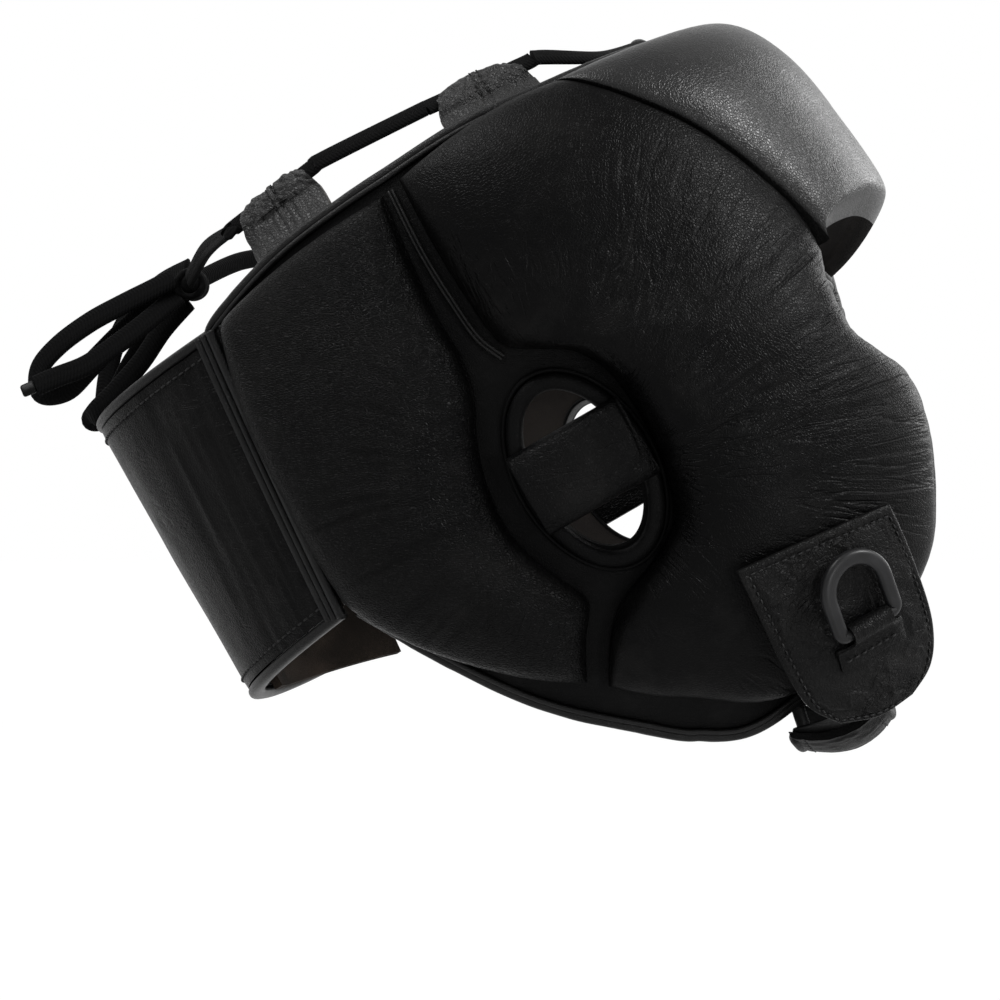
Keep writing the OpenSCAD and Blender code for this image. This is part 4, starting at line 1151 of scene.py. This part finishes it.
def rearStrap():
    run = np.linspace(-strap["tuck"], 1, 231)
    u, v = np.meshgrid(run, even(74), indexing="ij")
    a, z = strapPlace(u, v)
    rounded = roll(0.01 + 0.98 * v, 10)
    folds = 0.75 * hump(u, 0.09) * rumple(u * 60, v * 3.2, 91)
    folds += 0.55 * hump(u - 0.13, 0.07) * rumple(u * 34, v * 2.1, 92)
    folds += 0.25 * rumple(u * 14, v * 4, 93) + 0.35 * hump(u, 0.03) * rumple(u * 9, v * 26, 94)
    outer = strapAt(a, z, strap["thick"] - 0.5 + 0.5 * rounded + folds * rounded)
    blended(makePiece("rear_strap_leather", solid(outer, strapAt(a, z, 0)), "coverLeather",
                      body=None, stands=["rear_strap"], sharp=50))
    bead = oval(strap["bead"], strap["thick"] / 2 + strap["lip"], 24, power=2.4)
    for name, level, way in (("top", 1, 1), ("low", 0, -1)):
        a, z = strapPlace(run, level)
        rings = carried(strapAt(a, z, strap["thick"] / 2), strapOut(a, z),
                        bead + np.array([way * (strap["bead"] + 0.15), 0]))
        blended(makePiece("rear_strap_" + name + "_bound_edge", tube(worn(rings)), "bindingLeather",
                          body=None, stands=["rear_strap_" + name + "_binding"]))
        a, z = strapPlace(even(230), level - way * 0.035)
        row = (strapAt(a, z, strap["thick"] + 0.15), strapOut(a, z), 3.0, 2.3, 0.34)
        blended(sewn("rear_strap_" + name + "_stitching", [row], None))


def seamPiping():
    # three rolled strips side by side down the seam where the strap leaves the side
    v = np.linspace(-0.02, 1.03, 120)
    a = strapStart(v) - strap["seamTurn"]
    z = strap["startLow"][1] + (strap["startTop"][1] - strap["startLow"][1]) * v
    path = strapAt(a, z, strap["thick"] + 0.1)
    shapes = [tube(worn(carried(path, strapOut(a, z), oval(half, 1.5, 20, shift))))
              for half, shift in ((1.5, -1.3), (1.2, 1.5), (1.9, 4.6))]
    makePiece("rear_strap_seam_piping", joined(*shapes), "bindingLeather")


def strapPatch(a0, a1, d, name, body):
    # hook or loop tape: a thin sheet with sewn, slightly raised borders
    u, v = np.meshgrid(even(90), even(60), indexing="ij")
    a, z = a0 + (a1 - a0) * u, hook["low"] + (hook["high"] - hook["low"]) * v
    border = np.maximum(np.abs(2 * u - 1), np.abs(2 * v - 1))
    pile = 0.12 * rumple(u * 90, v * 60, 95) - 0.2 * ease((border - 0.93) / 0.05)
    shape = solid(strapAt(a, z, d - hook["thick"] * 0.15 + pile), strapAt(a, z, d - hook["thick"]))
    makePiece(name + "_tape", shape, "hookPile", body=body, stands=[name], sharp=50)


def underFlap():
    # reaches from the left side's seam round the back, dipping and waving towards its free end
    u, v = np.meshgrid(even(110), even(70), indexing="ij")
    last = 360 - strapStart(v) - under["gap"]
    low = under["low"] - under["flare"] * u ** 3
    d = -2 * hook["gap"] - 2 * hook["thick"] - layers["gap"]
    a, z = under["reach"] + (last - under["reach"]) * u, low + (under["top"] - low) * v
    waves = 0.35 * rumple(u * 9, v * 7, 96) * roll(v, 8)
    shape = solid(strapAt(a, z, d + np.minimum(waves, 0)), strapAt(a, z, d - under["thick"] + 0.4 * waves))
    makePiece("rear_under_flap", shape, "brownSuede", stands=["rear_under_strap"], sharp=50)


rearStrap()
seamPiping()
strapPatch(184, strap["end"] - 2, -hook["gap"], "rear_hook_patch", "rear_strap")
strapPatch(180, 218, -hook["gap"] - hook["thick"] - layers["gap"], "rear_loop_patch", "root")
underFlap()
print("rear strap made")

# Chin strap, its anchor, the tab and its ring
chin = {"bend": 0.09, "x": 41.5, "w": 31, "t": 3, "bead": 1.7, "anchorY": 42, "anchorT": 2.2, "path": [
    [58, -140.9], [48, -141.9], [36, -144.4], [20, -148.4], [0, -151.8], [-22, -152.8], [-42, -151.4],
    [-56, -146.6]]}
neck = {"from": 0.96, "row": 0.16, "thick": 1.8, "share": 0.92, "reach": 20, "span": 0.38}
ring = {"place": np.array([52.9, -105.9]), "w": 27, "l": 26, "t": 4, "band": 5.2, "bar": 2, "corner": 1.6,
        "inside": 1.6, "keeperW": 15.8, "keeperLegW": 26, "keeperR": 3.6, "leg": 11}
tab = {"depth": 37.5, "thick": 2.2, "size": (50, 40), "seam": 2.7}
tabPatch = [[[42, -129.5], [35.5, -124], [34.5, -115], [38, -99], [41.7, -80.4]],
            [[62, -129], [68, -121], [70.5, -107], [71.5, -92], [72, -77.2]],
            [[42, -129.5], [52, -131.5], [62, -129]], [[41.7, -80.4], [57, -79], [72, -77.2]]]


def chinHollow(k):
    # hollow that fits the chin: lowest a little ahead of the middle, highest at the rear edge
    return 3.6 + 2.6 * k - 5.4 * k ** 2


def withX(x, flat):
    # level places or ways from x and a flat shape of y and z
    return np.concatenate([np.broadcast_to(x, flat.shape[:-1])[..., None], flat], -1)


def chinStrap():
    t = even(150)
    path = along(chin["path"], t)
    normal = flatNormal(path)
    k = np.linspace(-1, 1, 61)
    rounded = np.sqrt(np.maximum(0, 1 - np.abs(k) ** 16))
    ripple = 0.3 * rumple(t[:, None] * 40, k * 3, 97)
    groove = 0.3 * hump(np.abs(k) - 0.8, 0.035)

    def laid(k, depth):
        # cupped under the chin, from flat at the anchor
        depth = depth + np.outer(ease(t / 0.25), chinHollow(k))
        return withX(chin["x"] + k * chin["w"] / 2, path[:, None] - normal[:, None] * depth[..., None])

    grids = [laid(k, sign * (chin["t"] / 2 * (0.72 + 0.28 * rounded) - groove) + ripple * rounded)
             for sign in (-1, 1)]
    shapes = [shell(*grids)]
    full = (0.4 + 0.6 * ease(np.minimum(t, 1 - t) / 0.06))[:, None, None]
    bead = full * oval(chin["bead"], chin["t"] / 2 + 0.5, 20, power=2.3)
    for edge in (-0.97, 0.97):
        shapes.append(tube(carried(laid(np.array([edge]), 0)[:, 0], withX(0, normal), bead)))
    points, faces = joined(*shapes)
    runs = [(grid[3:-3, column], withX(0, -sign * normal)[3:-3], 3.0, 2.2, 0.32)
            for column in (6, 54) for grid, sign in zip(grids, (-1, 1))]
    # its first stretch stays under the anchor; the strap and its stitching have their placing baked into
    # their meshes
    for piece in (makePiece("chin_strap_leather", (worn(points), faces), "backingLeather",
                            body=None, stands=["chin_strap"], sharp=60),
                  sewn("chin_strap_stitching", runs, None)):
        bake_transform(piece)


def chinAnchor():
    # short leather bridge sewn under the left cheek, over the strap's end
    u, v = np.meshgrid(even(30), even(60), indexing="ij")
    x = chin["x"] + (v - 0.5) * chin["w"]
    y = chin["anchorY"] + (chin["path"][0][0] - chin["anchorY"]) * u
    z0 = chin["path"][0][1] + chin["t"] / 2 + layers["gap"]
    border = roll(0.01 + 0.98 * u, 10) * roll(0.01 + 0.98 * v, 12)
    top = z0 + chin["anchorT"] * (0.7 + 0.3 * border) + 0.15 * rumple(u * 6, v * 9, 98)
    shape = solid(np.stack([x, y, top], -1), np.stack([x, y, z0 + 0 * u], -1))
    makePiece("chin_anchor_leather", shape, "coverLeather", stands=["chin_anchor"], sharp=50)


def chinNeck():
    # leather web that joins strap and tab: each column is a cubic arc from the strap's end to the tab
    u, v = np.meshgrid(even(60), even(50), indexing="ij")
    before, first = along(chin["path"], np.array([neck["from"] - 0.01, neck["from"]]))
    way = unit(first - before)
    k = neck["share"] * (2 * v - 1)
    rise = (chin["t"] + neck["thick"]) / 2 + layers["gap"] - chinHollow(k)
    start = withX(chin["x"] + k * chin["w"] / 2, first + np.array([way[1], -way[0]]) * rise[..., None])
    column = 0.5 - neck["span"] * (2 * v - 1)
    deep = tab["depth"] - layers["gap"] - neck["thick"] / 2
    end, beyond = [lift(spot(tabPatch, neck["row"] + more, column), deep) for more in (0, 0.02)]
    leaving = np.array([0, way[0], way[1]]) * neck["reach"]
    coming = unit(beyond - end) * neck["reach"]
    u = u[..., None]
    place = (2 * u ** 3 - 3 * u ** 2 + 1) * start + (u ** 3 - 2 * u ** 2 + u) * leaving
    place = place + (3 * u ** 2 - 2 * u ** 3) * end + (u ** 3 - u ** 2) * coming
    out = unit(np.cross(np.gradient(place, axis=0), np.gradient(place, axis=1)))
    soft = roll(0.01 + 0.98 * v, 10)[..., None] * neck["thick"] / 2
    crumple = 0.3 * rumple(u[..., 0] * 5, v * 6, 107)[..., None] * np.sin(np.pi * u)
    shape = solid(place + out * (soft + crumple), place - out * (soft - crumple))
    piece = makePiece("chin_strap_neck", shape, "backingLeather", body=None, sharp=60)
    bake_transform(piece)


def ringWays():
    # the ring's own ways on the tab: across, out and up
    out = outward(ring["place"])
    across = unit(np.cross([0, 0, 1], out))
    return across, out, np.cross(out, across)


def pressedD(q):
    # distance to a D line inside the ring: half a circle over two straight legs
    across, out, up = ringWays()
    place = lift(q, tab["depth"]) - lift(ring["place"], tab["depth"])
    x, y = place @ across, place @ up
    high = ring["l"] - ring["w"] / 2
    reach = ring["w"] / 2 - ring["band"] - ring["inside"]
    return np.where(y > high, np.hypot(x, y - high), np.abs(x)) - reach + 9 * (y < 0)


def chinTab():
    s, t = np.meshgrid(even(150), even(120), indexing="ij")
    q = spot(tabPatch, s, t)
    long, wide = tab["size"]
    edge = np.minimum(np.minimum(s, 1 - s) * long, np.minimum(t, 1 - t) * wide)
    waves = rumple(s * 8, t * 7, 99)
    crinkle = 0.55 * waves + 0.4 * creases(s * 9, t * 6, 99) * ease(edge / 6)
    pulled = 0.5 * hump(s - 0.72, 0.13) * hump(t - 0.12, 0.2) * rumple(s * 26, t * 9, 101)
    calm = ease(edge / 5)
    relief = (crinkle + pulled) * calm - 0.35 * hump(edge - tab["seam"], 0.6) - 0.5 * hump(edge, 0.5)
    relief -= 0.45 * hump(pressedD(q), 0.5)
    shape = solid(lift(q, tab["depth"] + tab["thick"] + relief), lift(q, tab["depth"] + 0.25 * waves * calm))
    makePiece("chin_tab_leather", shape, "tabLeather", body="chin_tab", stands=["chin_tab"],
              sharp=50)
    low, near = tab["seam"] / long, tab["seam"] / wide
    rows, columns = low + (1 - 2 * low) * even(60), near + (1 - 2 * near) * even(60)
    runs = []
    for s, t in ((rows, near), (1 - low, columns), (rows, 1 - near), (low, columns)):
        q = spot(tabPatch, s, t)
        runs.append((lift(q, tab["depth"] + tab["thick"] - 0.15), outward(q), 2.7, 2.0, 0.33))
    sewn("chin_tab_stitching", runs, "chin_tab")


def tabTape(name, rows, drawn, depth, body):
    s, t = np.meshgrid(np.interp(even(50), [0, 1], rows), drawn + (1 - 2 * drawn) * even(50), indexing="ij")
    q = spot(tabPatch, drawn + (1 - 2 * drawn) * s, t)
    shape = solid(lift(q, depth - 0.15 + 0.12 * rumple(s * 60, t * 60, 102)), lift(q, depth - hook["thick"]))
    makePiece(name + "_tape", shape, "hookPile", body=body, stands=[name], sharp=50)


def onTab(local):
    # level places from the ring's own: across, into the tab and up
    across, out, up = ringWays()
    place = lift(ring["place"], tab["depth"] + tab["thick"] + ring["keeperR"] + layers["gap"])
    return place + local[..., :1] * across - local[..., 1:2] * out + local[..., 2:] * up


def arc(x, y, radius, start, end, steps):
    a = np.linspace(start, end, steps + 1)
    return np.stack([x + radius * np.cos(a), y + radius * np.sin(a)], -1)


def pullRing():
    # rounded band along a D: half round the top, down one side, along the bar and up the other
    reach = ring["w"] / 2 - ring["band"] / 2
    high = ring["l"] - ring["w"] / 2
    soft = ring["corner"]
    outline = np.concatenate([
        arc(0, high, reach, 0, np.pi, 60), np.linspace([-reach, high], [-reach, soft], 25)[1:],
        arc(soft - reach, soft, soft, np.pi, 1.5 * np.pi, 10)[1:],
        np.linspace([soft - reach, 0], [reach - soft, 0], 31)[1:],
        arc(reach - soft, soft, soft, 1.5 * np.pi, 2 * np.pi, 10)[1:],
        np.linspace([reach, soft], [reach, high], 25)[1:-1]])
    path = np.stack([outline[:, 0], 0 * outline[:, 0], outline[:, 1]], -1)
    onBar = (1 - ease(outline[:, 1] / 2.4))[:, None, None]
    band = oval(ring["band"] / 2, ring["t"] / 2, 28, power=2.7) * (1 - onBar)
    band = band + oval(ring["bar"], ring["bar"], 28) * onBar
    rings = carried(path, np.broadcast_to([0.0, -1.0, 0.0], path.shape), band, closed=True)
    makePiece("chin_pull_ring", tube(worn(onTab(rings)), True), "ring", body="pull_ring",
              stands=["pull_ring"])


def ringKeeper():
    # strip folded round the bar: in to the tab, over the bar and back down, with a wider apron below
    r = ring["bar"] + 0.75
    line = along([(3.1, -ring["leg"]), (2.9, -8), (2.9, -4), (2.85, -1.5), (r - 0.1, 0.4),
                  (r * 0.75, r * 0.72), (0, r), (-r * 0.75, r * 0.72), (-r, 0), (-r * 0.8, -r * 0.75),
                  (-0.6, -3.6), (0.9, -5),
                  (1.5, -7), (2.2, -ring["leg"] - 0.4)], even(130))
    k = np.linspace(-0.5, 0.5, 61)
    apron = ease((-line[:, 1:] - 3.6) / 0.9)
    wide = ring["keeperW"] + (ring["keeperLegW"] - ring["keeperW"]) * apron
    thinned = np.where(line[:, :1] < 2.5, 1.3, 0.4) * apron * np.abs(2 * k) ** 5
    rough = 0.14 * rumple(line[:, 1:] / 2.5, k * 9, 103)
    grids = []
    for offset in (0.5, -0.5):
        flat = line[:, None] + flatNormal(line)[:, None] * (offset + rough)[..., None]
        grids.append(onTab(np.stack([wide * k, flat[..., 0] + thinned, flat[..., 1]], -1)))
    makePiece("ring_keeper_leather", solid(*grids), "tabLeather", body="chin_tab",
              stands=["ring_keeper"], sharp=50)
    x = (even(40) - 0.5) * (ring["keeperLegW"] - 2)
    run = onTab(np.stack([x, 0.85 + 0 * x, -8.2 + 0 * x], -1))
    sewn("ring_keeper_stitching", [(run, np.broadcast_to(outward(ring["place"]), run.shape), 2.7, 2.1, 0.36)],
         "chin_tab")


chinStrap()
chinNeck()
chinAnchor()
chinTab()
tabTape("tab_hook_patch", (0.55, 0.95), 0.08, tab["depth"] - hook["gap"], "chin_tab")
tabTape("cheek_loop_patch", (0.6, 0.92), 0.12,
        tab["depth"] - hook["gap"] - hook["thick"] - layers["gap"], "root")
pullRing()
ringKeeper()
print("chin strap made")

# Pale floor, white surroundings and soft lamps
stage = {"floorZ": -0.45, "size": 60, "ambient": 0.4, "white": 1.0, "share": 0.9, "glow": 1.07}
lamps = {"key": {"place": (1.22, -0.36, 0.86), "size": (0.42, 0.42), "power": 26},
         "top": {"place": (-0.70, -0.40, 1.22), "size": (1.1, 0.4), "power": 20},
         "front": {"place": (1.5, 0.3, 0.3), "size": (0.5, 0.5), "power": 2.5},
         "far": {"place": (1.0, 1.15, 0.55), "size": (0.7, 0.7), "power": 9},
         "side": {"place": (0.95, -1.20, -0.15), "size": (0.12, 0.5), "power": 5}}


def seenWhite(tree):
    # one where the camera, a gloss or a clear ray sees it
    seen = node(tree, "LightPath").outputs
    some = maths(tree, "MAXIMUM", seen["Is Camera Ray"], seen["Is Glossy Ray"])
    return maths(tree, "MAXIMUM", some, seen["Is Transmission Ray"])


def blendedShader(tree, factor, first, second):
    made = node(tree, "MixShader")
    for value, socket in zip((factor, first, second), made.inputs):
        put(tree, value, socket)
    return made.outputs[0]


def makeWorld():
    world = bpy.data.worlds.new("studio")
    world.use_nodes = True
    tree = world.node_tree
    tree.nodes.clear()
    lit, seen = [node(tree, "Background", Color=(1, 1, 1, 1), Strength=stage[key]).outputs[0]
                 for key in ("ambient", "white")]
    node(tree, "OutputWorld", Surface=blendedShader(tree, seenWhite(tree), lit, seen))
    scene.world = world


def floorMaterial():
    # nearly white on its own, so that it joins the background and still takes a soft shadow
    made, tree, place = newMaterial("paleFloor")
    finished(tree, Base_Color=(0.9, 0.9, 0.9, 1), Roughness=0.9)
    glow = node(tree, "Emission", Strength=stage["glow"]).outputs[0]
    share = maths(tree, "MULTIPLY", seenWhite(tree), stage["share"])
    lit = tree.nodes["Principled BSDF"].outputs[0]
    put(tree, blendedShader(tree, share, lit, glow), tree.nodes["Material Output"].inputs["Surface"])
    return made


def makeFloor():
    finish["floor"] = floorMaterial()
    k = np.linspace(-stage["size"] / 2, stage["size"] / 2, 13)
    x, y = np.meshgrid(k, k, indexing="ij")
    top = np.stack([x, y, stage["floorZ"] + 0 * x], -1)
    makePiece("floor", shell(top, top - np.array([0, 0, 0.02])), "floor", body=None)


def placeLamp(name):
    look = lamps[name]
    data = bpy.data.lights.new(name, "AREA")
    data.shape = "RECTANGLE"
    data.size, data.size_y = look["size"]
    data.energy = look["power"]
    lamp = bpy.data.objects.new(name, data)
    scene.collection.objects.link(lamp)
    lamp.location = look["place"]
    lamp.rotation_euler = (-lamp.location).to_track_quat("-Z", "Y").to_euler()


makeWorld()
makeFloor()
for lampName in lamps:
    placeLamp(lampName)
print("stage made")
